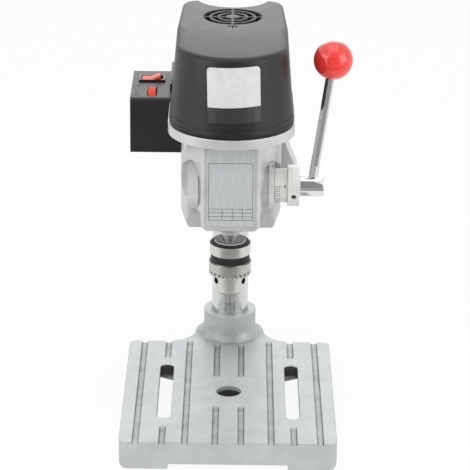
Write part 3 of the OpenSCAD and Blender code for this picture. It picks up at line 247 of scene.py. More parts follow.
@dataclass(frozen=True)
class Finish:
    """A surface finish: a fine relief, a broad drift and worn edges. Each kind has its own values.

    Attributes:
        grain: Size of the fine pattern, which is raised by the depth.
        drift: Size and detail of the broad pattern.
        shares: Weights of the fine pattern, the drift and the edges in the tone.
        stops: Places on the tone's ramp and how light the colour is there.
        spread: How much smoother and how much rougher it gets with the pattern.
        by_drift: Whether the roughness follows the drift.
    """

    name: str
    colour: Colour
    rough: float
    edge: float = 0.4
    centre: Point = (0.0, 0.0, 0.0)
    along: Along = Along.Z
    grain: float = 0.6
    detail: float = 3.0
    stretch: Point = (1.0, 1.0, 1.0)
    depth: float = 0.006
    drift: Span = (6.0, 3.0)
    shares: Point = (0.0, 1.0, 0.0)
    stops: Profile = ((0.3, 0.93), (0.7, 1.05))
    spread: Span = (0.05, 0.05)
    by_drift: bool = False
    metal: float = 0.0
    gloss: float = 0.5
    coat: float = 0.0

    def fine(self, graph: Surface, places: Socket) -> Socket:
        """Lays the fine pattern; some kinds have their own."""
        return graph.noise(places, self.grain, self.detail, self.stretch)

    def extra(self, graph: Surface, places: Socket) -> Sequence[tuple[Socket, float]]:
        """Lays more patterns for the tone, with their weights; most kinds have none."""
        return ()

    def material(self) -> bpy.types.Material:
        """Gives the material, made on first use.

        Returns:
            The material of this finish.
        """
        label = f"{self.name}_finish"
        known = bpy.data.materials.get(label)
        if known:
            return known
        graph = Surface(label)
        graph.put({"Base Color": (*self.colour, 1.0), "Roughness": self.rough, "Metallic": self.metal,
                   "Specular IOR Level": self.gloss, "Coat Weight": self.coat, "Coat Roughness": 0.06})
        places = graph.places(self.centre, self.along)
        fine, drift = self.fine(graph, places), graph.noise(places, *self.drift)
        edges = graph.relief(fine, self.depth, self.edge)
        tone = graph.total(*zip((fine, drift, edges), self.shares), *self.extra(graph, places))
        graph.paint(tone, self.colour, *self.stops)
        below, above = self.spread
        graph.roughen(drift if self.by_drift else fine, self.rough - below, self.rough + above)
        return graph.material


@dataclass(frozen=True)
class CastPaint(Finish):
    """Silver paint over a sand-cast skin, thinner on the edges, with painted shade in the grooves and corners
    and between walls.
    """

    grain: float = 0.9
    depth: float = 0.06
    drift: Span = (16.0, 2.0)
    shares: Point = (0.0, 0.55, 0.8)
    stops: Profile = ((0.02, 0.3), (0.32, 0.9), (0.5, 1.0), (0.72, 1.12))
    spread: Span = (0.06, 0.08)
    metal: float = 0.5
    # Weights of the painted shade: in grooves and corners, then between walls.
    groove_shade: float = 0.55
    shade: float = 0.25

    def extra(self, graph: Surface, places: Socket) -> Sequence[tuple[Socket, float]]:
        """Lays silver flakes, and painted shade in the grooves and between walls.

        Args:
            graph: The material's node tree.
            places: Coordinates in millimetres.

        Returns:
            The patterns and their weights.
        """
        flake = graph.noise(places, size=0.28, detail=1.0)
        # Occlusion masks that paint shade into grooves and corners and between walls.
        groove_shade, shade = graph.hollows(reach=1.1), graph.hollows(reach=14.0)
        return (flake, 0.45), (groove_shade, -self.groove_shade), (shade, -self.shade)


@dataclass(frozen=True)
class Moulded(Finish):
    """Moulded plastic with a fine spark-eroded grain and paler edges."""

    grain: float = 0.45
    detail: float = 2.0
    depth: float = 0.03
    drift: Span = (22.0, 2.0)
    shares: Point = (0.0, 1.0, 0.7)
    stops: Profile = ((0.3, 0.86), (0.6, 1.08), (0.95, 1.5))
    spread: Span = (0.05, 0.07)


@dataclass(frozen=True)
class Enamel(Finish):
    """Glossy coloured plastic with a faint ripple and a clear skin."""

    grain: float = 3.0
    detail: float = 1.0
    depth: float = 0.008
    drift: Span = (11.0, 2.0)
    shares: Point = (0.0, 1.0, 0.5)
    stops: Profile = ((0.3, 0.9), (0.7, 1.08))
    spread: Span = (0.0, 0.05)
    by_drift: bool = True
    coat: float = 0.5


@dataclass(frozen=True)
class Plated(Finish):
    """Bright plating with faint polishing waves and handling marks."""

    grain: float = 9.0
    detail: float = 1.0
    stretch: Point = (1.0, 1.0, 2.0)
    depth: float = 0.003
    drift: Span = (2.2, 3.0)
    stops: Profile = ((0.3, 0.94), (0.7, 1.04))
    spread: Span = (0.0, 0.05)
    by_drift: bool = True
    metal: float = 1.0


@dataclass(frozen=True)
class Turned(Finish):
    """Metal turned on a lathe, with fine rings about its axis."""

    grain: float = 0.3
    detail: float = 2.0
    depth: float = 0.012
    drift: Span = (7.0, 2.0)
    shares: Point = (0.6, 0.4, 0.5)
    stops: Profile = ((0.3, 0.85), (0.75, 1.1))
    spread: Span = (0.06, 0.08)
    metal: float = 1.0

    def fine(self, graph: Surface, places: Socket) -> Socket:
        """Lays the tool's rings.

        Args:
            graph: The material's node tree.
            places: Coordinates in millimetres.

        Returns:
            The pattern.
        """
        x, y, z = graph.parts(places)
        radius = graph.math("SQRT", graph.math("MULTIPLY_ADD", x, x, graph.math("MULTIPLY", y, y)))
        return graph.noise(graph.vector(radius, 0.0, z), self.grain, self.detail)


@dataclass(frozen=True)
class Knurled(Finish):
    """Blackened steel with a diamond knurl round the Z axis, paler on its worn points."""

    grain: float = 0.9
    depth: float = 0.3
    drift: Span = (1.5, 2.0)
    shares: Point = (1.0, 0.0, 0.0)
    stops: Profile = ((0.1, 0.5), (0.6, 1.0), (0.95, 2.2))
    spread: Span = (0.05, 0.1)
    by_drift: bool = True
    metal: float = 0.7
    radius: float = 15.0

    def fine(self, graph: Surface, places: Socket) -> Socket:
        """Lays the diamonds.

        Args:
            graph: The material's node tree.
            places: Coordinates in millimetres.

        Returns:
            The pattern.
        """
        x, y, z = graph.parts(places)
        way = graph.math("MULTIPLY", graph.math("ARCTAN2", y, x), self.radius)
        waves = []
        for sign in ("ADD", "SUBTRACT"):
            slant = graph.math("MULTIPLY", graph.math(sign, way, z), math.pi / self.grain)
            waves.append(graph.math("ABSOLUTE", graph.math("SINE", slant)))
        return graph.math("MULTIPLY", *waves)


@dataclass(frozen=True)
class Brushed(Finish):
    """Sheet or bar metal brushed along one direction."""

    depth: float = 0.01
    shares: Point = (1.0, 0.0, 0.4)
    stops: Profile = ((0.3, 0.84), (0.72, 1.12))
    spread: Span = (0.07, 0.1)
    metal: float = 1.0


@dataclass(frozen=True)
class Printed(Finish):
    """A thin printed or anodised film with a faint fibre and light scuffs, the plainest kind."""


@dataclass(frozen=True)
class Ribbed(Finish):
    """Cross-ribbed rubber, or close turns of wire, by bands along one direction."""

    centre: Point = MOTOR
    drift: Span = (2.0, 3.0)
    shares: Point = (0.6, 0.4, 0.0)
    stops: Profile = ((0.2, 0.6), (0.8, 1.25))
    spread: Span = (0.05, 0.1)
    by_drift: bool = True

    def fine(self, graph: Surface, places: Socket) -> Socket:
        """Lays the bands."""
        turns = graph.math("MULTIPLY", graph.parts(places)[2], 2 * math.pi / self.grain)
        return graph.math("MULTIPLY_ADD", graph.math("SINE", turns), 0.5, 0.5)


# Each cast paint darkens its grooves, corners and the ground between walls with painted shade; the base's is
# strongest, round the collar's foot and in its openings.
BASE_PAINT = CastPaint("base_paint", (0.5, 0.52, 0.525), 0.45, 1.1, metal=0.3, gloss=0.35, groove_shade=0.42,
                       shade=1.1)
# A near-black paint for the sheets of painted shade inside the base's hole and slot ends.
OPENING_SHADE = CastPaint("opening_shade", (0.06, 0.06, 0.06), 0.55, 0.4, metal=0.3, gloss=0.3)
HEAD_PAINT = CastPaint("head_paint", (0.6, 0.606, 0.6), 0.36, 1.3, grain=1.2, depth=0.035, metal=0.45)
CAP_PAINT = CastPaint("cap_paint", (0.72, 0.725, 0.72), 0.34, 0.7, grain=1.0, depth=0.03, metal=0.25)
CHROME = Plated("chrome", (0.78, 0.79, 0.8), 0.05, 0.3)
COLUMN_CHROME = Plated("column_chrome", (0.67, 0.68, 0.675), 0.15, 0.3)
STEEL = Brushed("bright_steel", (0.5, 0.51, 0.52), 0.3, 0.3, stretch=(1.0, 1.0, 8.0), grain=0.6)
SPINDLE_STEEL = Turned("spindle_steel", (0.42, 0.42, 0.41), 0.34, 0.3)
CROWN_STEEL = Turned("crown_steel", (0.5, 0.5, 0.49), 0.26, 0.3, metal=0.6)
# A near-white, mostly non-metal finish that paints the highlight on the crown's thin edge.
RIM_HIGHLIGHT = Turned("rim_highlight", (0.92, 0.92, 0.9), 0.36, 0.2, metal=0.12)
CHUCK_STEEL = Turned("chuck_steel", (0.68, 0.68, 0.65), 0.24, 0.35)
SLEEVE_STEEL = Turned("sleeve_steel", (0.56, 0.55, 0.52), 0.3, 0.3)
JAW_STEEL = Brushed("jaw_steel", (0.4, 0.4, 0.41), 0.34, 0.2, stretch=(1.0, 1.0, 20.0), grain=0.3)
BLACK_STEEL = Turned("black_steel", (0.03, 0.03, 0.03), 0.3, 0.3, metal=0.4)
KNURL = Knurled("knurl_black", (0.035, 0.035, 0.035), 0.45, 0.2)
DIAL_METAL = Turned("dial_metal", (0.9, 0.9, 0.87), 0.42, 0.35, FEED, Along.X, metal=0.3)
ROD_STEEL = Plated("rod_plating", (0.7, 0.71, 0.72), 0.12, 0.3)
PLATE = Brushed("plate_metal", (0.62, 0.645, 0.65), 0.4, 0.3, stretch=(1.0, 1.0, 60.0), grain=0.3,
                metal=0.4)
PULLEY = Turned("pulley_metal", (0.6, 0.6, 0.61), 0.3, 0.4)
MOTOR_PULLEY = Turned("motor_pulley_metal", (0.6, 0.6, 0.61), 0.3, 0.4, MOTOR)
COVER_BLACK = Moulded("cover_black", (0.012, 0.012, 0.012), 0.41, 4.0, grain=0.6, depth=0.012, gloss=0.39)
BOX_BLACK = Moulded("box_black", (0.016, 0.016, 0.016), 0.42, 1.2, grain=0.5, gloss=0.4)
SMALL_BLACK = Moulded("small_black", (0.018, 0.018, 0.018), 0.36, 0.4)
BALL_RED = Enamel("ball_red", (0.8, 0.04, 0.033), 0.12, 0.5)
SWITCH_RED = Enamel("switch_red", (0.86, 0.08, 0.035), 0.4, 0.5, coat=0.0)
LABEL = Printed("label_film", (0.62, 0.63, 0.64), 0.34, 0.1)
LABEL_DARK = Printed("label_dark", (0.03, 0.03, 0.03), 0.3, 0.1)
INK = Printed("ink", (0.02, 0.02, 0.02), 0.45, 0.05)
MARK = Moulded("moulded_mark", (0.014, 0.014, 0.014), 0.45, 0.2)
RUBBER = Ribbed("belt_rubber", (0.02, 0.02, 0.02), 0.65, 0.3, along=Along.Y, grain=2.4, depth=0.3)
COPPER = Ribbed("copper_turns", (0.55, 0.25, 0.11), 0.3, 0.2, grain=0.9, depth=0.25, metal=1.0)
LAMINATED = Ribbed("laminated_iron", (0.3, 0.3, 0.31), 0.4, 0.2, grain=0.6, depth=0.08, metal=1.0)
BRASS = Turned("brass", (0.62, 0.45, 0.18), 0.25, 0.3, MOTOR, Along.X)
CARBON = Printed("carbon", (0.03, 0.03, 0.032), 0.6, 0.2)
BOARD = Ribbed("board_green", (0.02, 0.13, 0.05), 0.4, 0.2, along=Along.Y, grain=2.0, depth=0.05)


def stand(name: str, data: bpy.types.ID) -> bpy.types.Object:
    """Links a new object to the scene.

    Args:
        name: Its name.
        data: Its mesh, curve, light or camera.

    Returns:
        The object.
    """
    item = bpy.data.objects.new(name, data)
    bpy.context.scene.collection.objects.link(item)
    return item


def corners(geom: Iterable[object]) -> list[bmesh.types.BMVert]:
    """Picks the vertices out of mixed geometry."""
    return [part for part in geom if isinstance(part, bmesh.types.BMVert)]


class Shape:
    """A mesh in the making, in millimetres."""

    def __init__(self) -> None:
        """Starts an empty mesh."""
        self.bm = bmesh.new()

    @classmethod
    def turned(cls, profile: Profile, steps: int = 96, ring: bool = False) -> "Shape":
        """Spins an outline of radius and height round the Z axis.

        Args:
            profile: Points of the outline, from one end to the other.
            steps: Number of steps in the full turn.
            ring: Whether the outline closes on itself.

        Returns:
            The turned shape.
        """
        shape = cls()
        verts = [shape.bm.verts.new((radius, 0.0, height)) for radius, height in profile]
        pairs = list(zip(verts, verts[1:])) + ([(verts[-1], verts[0])] if ring else [])
        edges = [shape.bm.edges.new(pair) for pair in pairs]
        bmesh.ops.spin(shape.bm, geom=verts + edges, cent=(0, 0, 0), axis=UP, dvec=(0, 0, 0), steps=steps,
                       angle=2 * math.pi, use_merge=True, use_normal_flip=False, use_duplicate=False)
        return shape.weld()

    @classmethod
    def block(cls, low: Point, high: Point) -> "Shape":
        """Makes a block between two corners.

        Args:
            low: The lowest corner.
            high: The highest corner.

        Returns:
            The block.
        """
        shape = cls()
        bmesh.ops.create_cube(shape.bm, size=1.0)
        middle = [(a + b) / 2 for a, b in zip(low, high)]
        size = [b - a for a, b in zip(low, high)]
        bmesh.ops.scale(shape.bm, vec=size, verts=shape.bm.verts)
        return shape.shift(*middle)

    @classmethod
    def plate(cls, outline: Profile, thick: float) -> "Shape":
        """Raises a flat outline in the XY plane to a plate.

        Args:
            outline: Corner points in order.
            thick: Height of the plate.

        Returns:
            The plate, from height 0 up.
        """
        shape = cls()
        face = shape.bm.faces.new([shape.bm.verts.new((x, y, 0.0)) for x, y in outline])
        grown = bmesh.ops.extrude_face_region(shape.bm, geom=[face])["geom"]
        bmesh.ops.translate(shape.bm, vec=(0.0, 0.0, thick), verts=corners(grown))
        return shape.weld()

    @classmethod
    def copied(cls, node: str) -> "Shape":
        """Copies a frame node's mesh, with its doubles merged.

        Args:
            node: The node's name.

        Returns:
            The copy.
        """
        shape = cls()
        shape.bm.from_mesh(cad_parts[node].data)
        bmesh.ops.scale(shape.bm, vec=(1 / MM, 1 / MM, 1 / MM), verts=shape.bm.verts)
        bmesh.ops.remove_doubles(shape.bm, verts=shape.bm.verts, dist=0.002)
        return shape

    @classmethod
    def letters(cls, words: str, height: float, thick: float) -> "Shape":
        """Makes plain figures lying in the XY plane, centred on the origin.

        Args:
            words: The figures.
            height: Size of the figures.
            thick: How far they stand up.

        Returns:
            The figures as a mesh.
        """
        curve = bpy.data.curves.new("figures", "FONT")
        curve.body, curve.size, curve.extrude = words, height, thick / 2
        curve.align_x, curve.align_y, curve.resolution_u = "CENTER", "CENTER", 3
        holder = stand("figures", curve)
        bpy.context.view_layer.update()
        mesh = bpy.data.meshes.new_from_object(holder)
        bpy.data.objects.remove(holder)
        bpy.data.curves.remove(curve)
        shape = cls()
        shape.bm.from_mesh(mesh)
        bpy.data.meshes.remove(mesh)
        return shape.weld()

    def weld(self) -> "Shape":
        """Merges doubles and turns the faces outwards.

        Returns:
            This shape.
        """
        bmesh.ops.remove_doubles(self.bm, verts=self.bm.verts, dist=0.0005)
        bmesh.ops.recalc_face_normals(self.bm, faces=self.bm.faces)
        return self

    def flatten(self) -> "Shape":
        """Joins the faces that bend by less than half a degree."""
        bmesh.ops.dissolve_limit(self.bm, angle_limit=math.radians(0.5), use_dissolve_boundaries=False,
                                 verts=self.bm.verts, edges=self.bm.edges)
        return self

    def soften(self, radius: float, segments: int, degrees: float = 35.0) -> "Shape":
        """Rounds the sharp edges.

        Args:
            radius: Radius of the round.
            segments: Steps in it.
            degrees: Smallest bend that counts as sharp.

        Returns:
            This shape.
        """
        sharp = [edge for edge in self.bm.edges
                 if len(edge.link_faces) == 2 and edge.calc_face_angle() > math.radians(degrees)]
        bmesh.ops.bevel(self.bm, geom=sharp, offset=radius, offset_type="OFFSET", affect="EDGES",
                        segments=segments, profile=0.5, material=-1, clamp_overlap=True)
        return self

    def place(self, move: Matrix) -> "Shape":
        """Moves the whole shape."""
        bmesh.ops.transform(self.bm, matrix=move, verts=self.bm.verts)
        return self

    def shift(self, *step: float) -> "Shape":
        """Moves the whole shape by a step."""
        return self.place(Matrix.Translation(step))

    def mesh(self, name: str) -> bpy.types.Mesh:
        """Makes the mesh, which uses the shape up.

        Args:
            name: Name of the mesh.

        Returns:
            The mesh.
        """
        mesh = bpy.data.meshes.new(name)
        self.bm.to_mesh(mesh)
        self.bm.free()
        return mesh

    def join(self, other: "Shape") -> None:
        """Adds another shape.

        Args:
            other: The shape, which is used up.
        """
        mesh = other.mesh("joined")
        self.bm.from_mesh(mesh)
        bpy.data.meshes.remove(mesh)

    def cut(self, axis: Point, *places: float, faces: Sequence[bmesh.types.BMFace] = (),
            drop: bool = False) -> "Shape":
        """Cuts new edges across the shape.

        Args:
            axis: Normal of the cuts.
            places: Distances of the cuts along it.
            faces: The faces that are cut, or none for all.
            drop: Whether what lies before a cut goes.

        Returns:
            This shape.
        """
        for place in places:
            geom = [*faces, *{edge for face in faces for edge in face.edges}]
            bmesh.ops.bisect_plane(self.bm, geom=geom or [*self.bm.verts, *self.bm.edges, *self.bm.faces],
                                   dist=1e-5, plane_co=Vector(axis) * place, plane_no=axis, clear_inner=drop,
                                   clear_outer=False)
        return self

    def piece(self, name: str, body: str, finish: Finish, slot: str, replaces: Sequence[str] = (),
              smooth: float = 32.0) -> bpy.types.Object:
        """Makes the finished piece.

        Args:
            name: Name of the piece.
            body: The frame body that it moves with.
            finish: Its finish.
            slot: Name of a material slot; not used.
            replaces: Frame nodes that it stands for.
            smooth: Largest bend that is shaded smooth, in degrees.

        Returns:
            The object.
        """
        bmesh.ops.scale(self.bm, vec=(MM, MM, MM), verts=self.bm.verts)
        mesh = self.mesh(name)
        mesh.shade_smooth()
        mesh.set_sharp_from_angle(angle=math.radians(smooth))
        mesh.materials.append(finish.material())
        piece = stand(name, mesh)
        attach(piece, body)
        if replaces:
            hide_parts(*replaces)
        LOG.info("%s: %d faces, finish %s", name, len(mesh.polygons), finish.name)
        return piece


def dress(finish: Finish, *nodes: str) -> None:
    """Gives frame nodes a finish.

    Args:
        finish: The finish.
        nodes: Names of the nodes.
    """
    for name in nodes:
        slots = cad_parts[name].data.materials
        slots.clear()
        slots.append(finish.material())
        LOG.info("%s: finish %s", name, finish.name)


@dataclass
class Base:
    """The cast base with dark sheets of painted shade in its openings, and the bright column that its screw
    holds.
    """

    slot_x: float = 50.0
    slot_r: float = 5.5
    slot_half: float = 44.5
    slot_z: Span = (13.2, 21.3)
    hole_r: float = 10.0
    hole_z: Span = (3.4, 18.4)
    clear: float = 0.02
    # Thickness of each sheet of painted shade.
    skin: float = 0.2
    steps: int = 64

    def build(self) -> None:
        """Dresses the base and the column and lays painted shade inside the base's openings."""
        dress(BASE_PAINT, "base")
        dress(BLACK_STEEL, "column_set_screw")
        dress(COLUMN_CHROME, "column")
        dress(SMALL_BLACK, "column_cap")
        # Dark sheets of painted shade in the hole and at the slots' rear ends.
        self.shade_sheet(self.hole_r, self.hole_z).piece("hole_shade", "base", OPENING_SHADE, "base_paint")
        ends = Shape()
        for side in (-1, 1):
            end = self.shade_sheet(self.slot_r, self.slot_z, True)
            ends.join(end.shift(side * self.slot_x, self.slot_half, 0.0))
        ends.piece("slot_shades", "base", OPENING_SHADE, "base_paint")

    def shade_sheet(self, radius: float, reach: Span, rear: bool = False) -> Shape:
        """Makes a dark sheet of painted shade inside a round hole or the end of a slot.

        Args:
            radius: Radius of the hole.
            reach: Its lower and upper height.
            rear: Whether only the rear half is made.

        Returns:
            The skin.
        """
        out, low, high = radius - self.clear, *reach
        outline = ((out, low), (out, high), (out - self.skin, high), (out - self.skin, low))
        ring = Shape.turned(outline, self.steps, ring=True)
        if rear:
            ring.cut(BACK, 0.0, drop=True)
            bmesh.ops.holes_fill(ring.bm, edges=ring.bm.edges, sides=0)
            ring.weld()
        return ring


@dataclass
class Head:
    """The head casting with its blank front plate and fixings."""

    plate_face: float = -28.8
    line: float = 0.3
    proud: float = 0.05
    table_half: float = 16.7
    table_low: float = 177.0
    table_high: float = 222.3
    row: float = 3.0
    rows: int = 3
    columns: Sequence[float] = (-6.5, 1.2, 8.9)

    def build(self) -> None:
        """Dresses the casting and rules the blank plate."""
        dress(HEAD_PAINT, "head_casting")
        dress(CAP_PAINT, "feed_bush", "spring_cap")
        dress(PLATE, "front_plate")
        dress(STEEL, "clamp_bolts", "cover_post")
        dress(SMALL_BLACK, "brush_caps", "motor_end_cap")
        self.rule_plate()

    def bar(self, low: Span, high: Span) -> Shape:
        """Makes one printed line on the plate between two corners in X and Z."""
        return Shape.block((low[0], self.plate_face - self.proud, low[1]),
                           (high[0], self.plate_face + self.proud, high[1]))

    def rule_plate(self) -> None:
        """Rules a frame and an empty table on the plate."""
        half, line = self.table_half, self.line
        rows = [self.table_low + self.row * step for step in range(self.rows + 1)]
        lines = Shape()
        for z in [*rows, self.table_high]:
            lines.join(self.bar((-half, z), (half, z + line)))
        for x in (-half, half - line):
            lines.join(self.bar((x, rows[0]), (x + line, self.table_high + line)))
        for x in self.columns:
            lines.join(self.bar((x, rows[0]), (x + line, rows[-1] + line)))
        lines.piece("plate_lines", "head", INK, "black_plastic")


@dataclass
class Cover:
    """The tapered belt cover with its lower beads and blank label."""

    middle: Span = (0.0, 45.0)
    beads: Sequence[Span] = ((248.9, 249.8), (253.2, 254.0))
    bead_out: float = 0.5
    steep: float = 0.5
    box_side: float = 40.0
    box_front: float = 47.0
    seat: float = 246.5
    seat_gap: float = 0.04
    label_x: float = 1.5
    label_half: float = 19.5
    label_low: float = 270.4
    label_high: float = 299.6
    label_turn: float = math.radians(-1.6)
    label_corner: float = 3.0
    strip_low: float = 259.0
    strip_corner: float = 0.1
    film_start: float = -120.0
    film_lift: float = 0.12
    film_thick: float = 0.08

    def build(self) -> None:
        """Builds the shell with its label and dresses its screw."""
        shell = self.shell()
        surface = BVHTree.FromBMesh(shell.bm)
        label = self.film(surface, self.label_low, self.label_high, self.label_corner)
        label.piece("cover_label", "cover", LABEL, "plate")
        strip = self.film(surface, self.strip_low, self.label_low, self.strip_corner)
        strip.piece("label_strip", "cover", LABEL_DARK, "black_plastic")
        piece = shell.piece("cover_shell", "cover", COVER_BLACK, "black_plastic", ("belt_cover",), 38.0)
        piece.modifiers.new("even_shading", "WEIGHTED_NORMAL").keep_sharp = True
        dress(BLACK_STEEL, "cover_screw")

    def shell(self) -> Shape:
        """Copies the cover and raises two beads round its lower edge.

        Returns:
            The shell.
        """
        shell = Shape.copied("belt_cover").cut(UP, *(z for bead in self.beads for z in bead))
        for vert in shell.bm.verts:
            vert.co.z = max(vert.co.z, self.seat + self.seat_gap)
        shell.cut(BACK, self.box_front, faces=self.level_faces(shell))
        centre = Vector((*self.middle, 0.0))
        faces = []
        for face in self.level_faces(shell):
            spot = face.calc_center_median()
            away = (spot - centre) * Vector((1.0, 1.0, 0.0))
            beside_box = spot.x < -self.box_side and spot.y > self.box_front
            if not beside_box and face.normal.dot(away) > 0:
                faces.append(face)
        grown = bmesh.ops.extrude_face_region(shell.bm, geom=faces)["geom"]
        bmesh.ops.delete(shell.bm, geom=faces, context="FACES_ONLY")
        shell.bm.normal_update()
        for vert in corners(grown):
            out = sum((face.normal for face in vert.link_faces if abs(face.normal.z) < self.steep), Vector())
            vert.co += out.normalized() * self.bead_out
        return shell

    def level_faces(self, shell: Shape) -> list[bmesh.types.BMFace]:
        """Finds the faces at the height of the beads, once the cover is cut at their edges."""
        heights = [(face, face.calc_center_median().z) for face in shell.bm.faces]
        return [face for face, z in heights if any(low < z < high for low, high in self.beads)]

    def film(self, surface: BVHTree, low: float, high: float, corner: float) -> Shape:
        """Lays a film with round upper corners on the cover's front.

        Args:
            surface: The cover's surface.
            low: Height of its lower edge.
            high: Height of its upper edge.
            corner: Radius of its upper corners.

        Returns:
            The film.
        """
        film = Shape()
        bmesh.ops.create_grid(film.bm, x_segments=40, y_segments=28, size=1.0)
        half, tall = self.label_half, (high - low) / 2
        for vert in film.bm.verts:
            x, z = vert.co.x * half, vert.co.y * tall
            u = max(0.0, (abs(x) - half + corner) / corner)
            v = max(0.0, (z - tall + corner) / corner)
            if u > 0 and v > 0:
                x = math.copysign(half - corner + corner * u * math.sqrt(1 - v * v / 2), x)
                z = math.copysign(tall - corner + corner * v * math.sqrt(1 - u * u / 2), z)
            spot = Vector((x, 0.0, z + (low - self.label_low + high - self.label_high) / 2))
            spot.rotate(Matrix.Rotation(self.label_turn, 3, "Y"))
            spot += Vector((self.label_x, self.film_start, (self.label_low + self.label_high) / 2))
            hit, normal, _, _ = surface.ray_cast(spot, Vector(BACK))
            vert.co = hit + normal * self.film_lift
        bmesh.ops.recalc_face_normals(film.bm, faces=film.bm.faces)
        bmesh.ops.solidify(film.bm, geom=list(film.bm.faces), thickness=self.film_thick)
        return film.weld()


@dataclass
class SwitchBox:
    """The switch box with its rocker, speed wheel and moulded marks."""

    top: float = 248.5
    wedge: Profile = ((-77.0, 81.0), (-72.6, 81.0), (-74.8, 60.5))
    bar: Span = (-74.8, 57.0)
    bar_half: Span = (2.8, 0.5)
    line_half: float = 0.3
    sunk: float = 0.1
    proud: float = 0.15
    wheel: Point = (-62.4, 66.5, 237.5)
    wheel_r: float = 14.0
    wheel_half: float = 3.0
    wheel_bore: float = 2.6
    wheel_ribs: int = 48
    wheel_dip: float = 0.965

    def build(self) -> None:
        """Builds the box's own pieces and dresses its nodes."""
        dress(BOX_BLACK, "switch_box", "switch_box_lid", "cable_gland")
        dress(SMALL_BLACK, "switch_housing")
        dress(STEEL, "switch_box_screws")
        dress(BOARD, "speed_control")
        rocker = Shape.copied("rocker").flatten().soften(radius=0.7, segments=3)
        rocker.piece("rocker_cap", "rocker", SWITCH_RED, "red_plastic", ("rocker",), smooth=40.0)
        self.thumbwheel()
        self.marks()

    def thumbwheel(self) -> None:
        """Builds the ribbed wheel with its bore, each third step of its rim a groove."""
        half, bore, steps = self.wheel_half, self.wheel_bore, 3 * self.wheel_ribs
        outline = ((bore, -half), (self.wheel_r, -half), (self.wheel_r, half), (bore, half))
        wheel = Shape.turned(outline, steps, ring=True)
        for vert in wheel.bm.verts:
            number = round(math.atan2(vert.co.y, vert.co.x) * steps / (2 * math.pi))
            if number % 3 == 0 and vert.co.xy.length > self.wheel_r / 2:
                vert.co *= Vector((self.wheel_dip, self.wheel_dip, 1.0))
        wheel.place(Along.X.matrix(self.wheel))
        wheel.piece("thumbwheel", "speed_wheel", SWITCH_RED, "red_plastic", ("speed_wheel",), smooth=30.0)

    def marks(self) -> None:
        """Builds the wedge and bar beside the wheel."""
        marks, line = Shape(), self.line_half
        for (ax, ay), (bx, by) in zip(self.wedge, (*self.wedge[1:], self.wedge[0])):
            length = math.hypot(bx - ax, by - ay)
            side = Shape.block((-line, -line, -self.sunk), (length + line, line, self.proud))
            turn = Matrix.Rotation(math.atan2(by - ay, bx - ax), 4, "Z")
            marks.join(side.place(Matrix.Translation((ax, ay, self.top)) @ turn))
        wide, deep = self.bar_half
        bar = Shape.block((-wide, -deep, -self.sunk), (wide, deep, self.proud))
        marks.join(bar.shift(*self.bar, self.top))
        marks.piece("speed_marks", "head", MARK, "black_plastic")


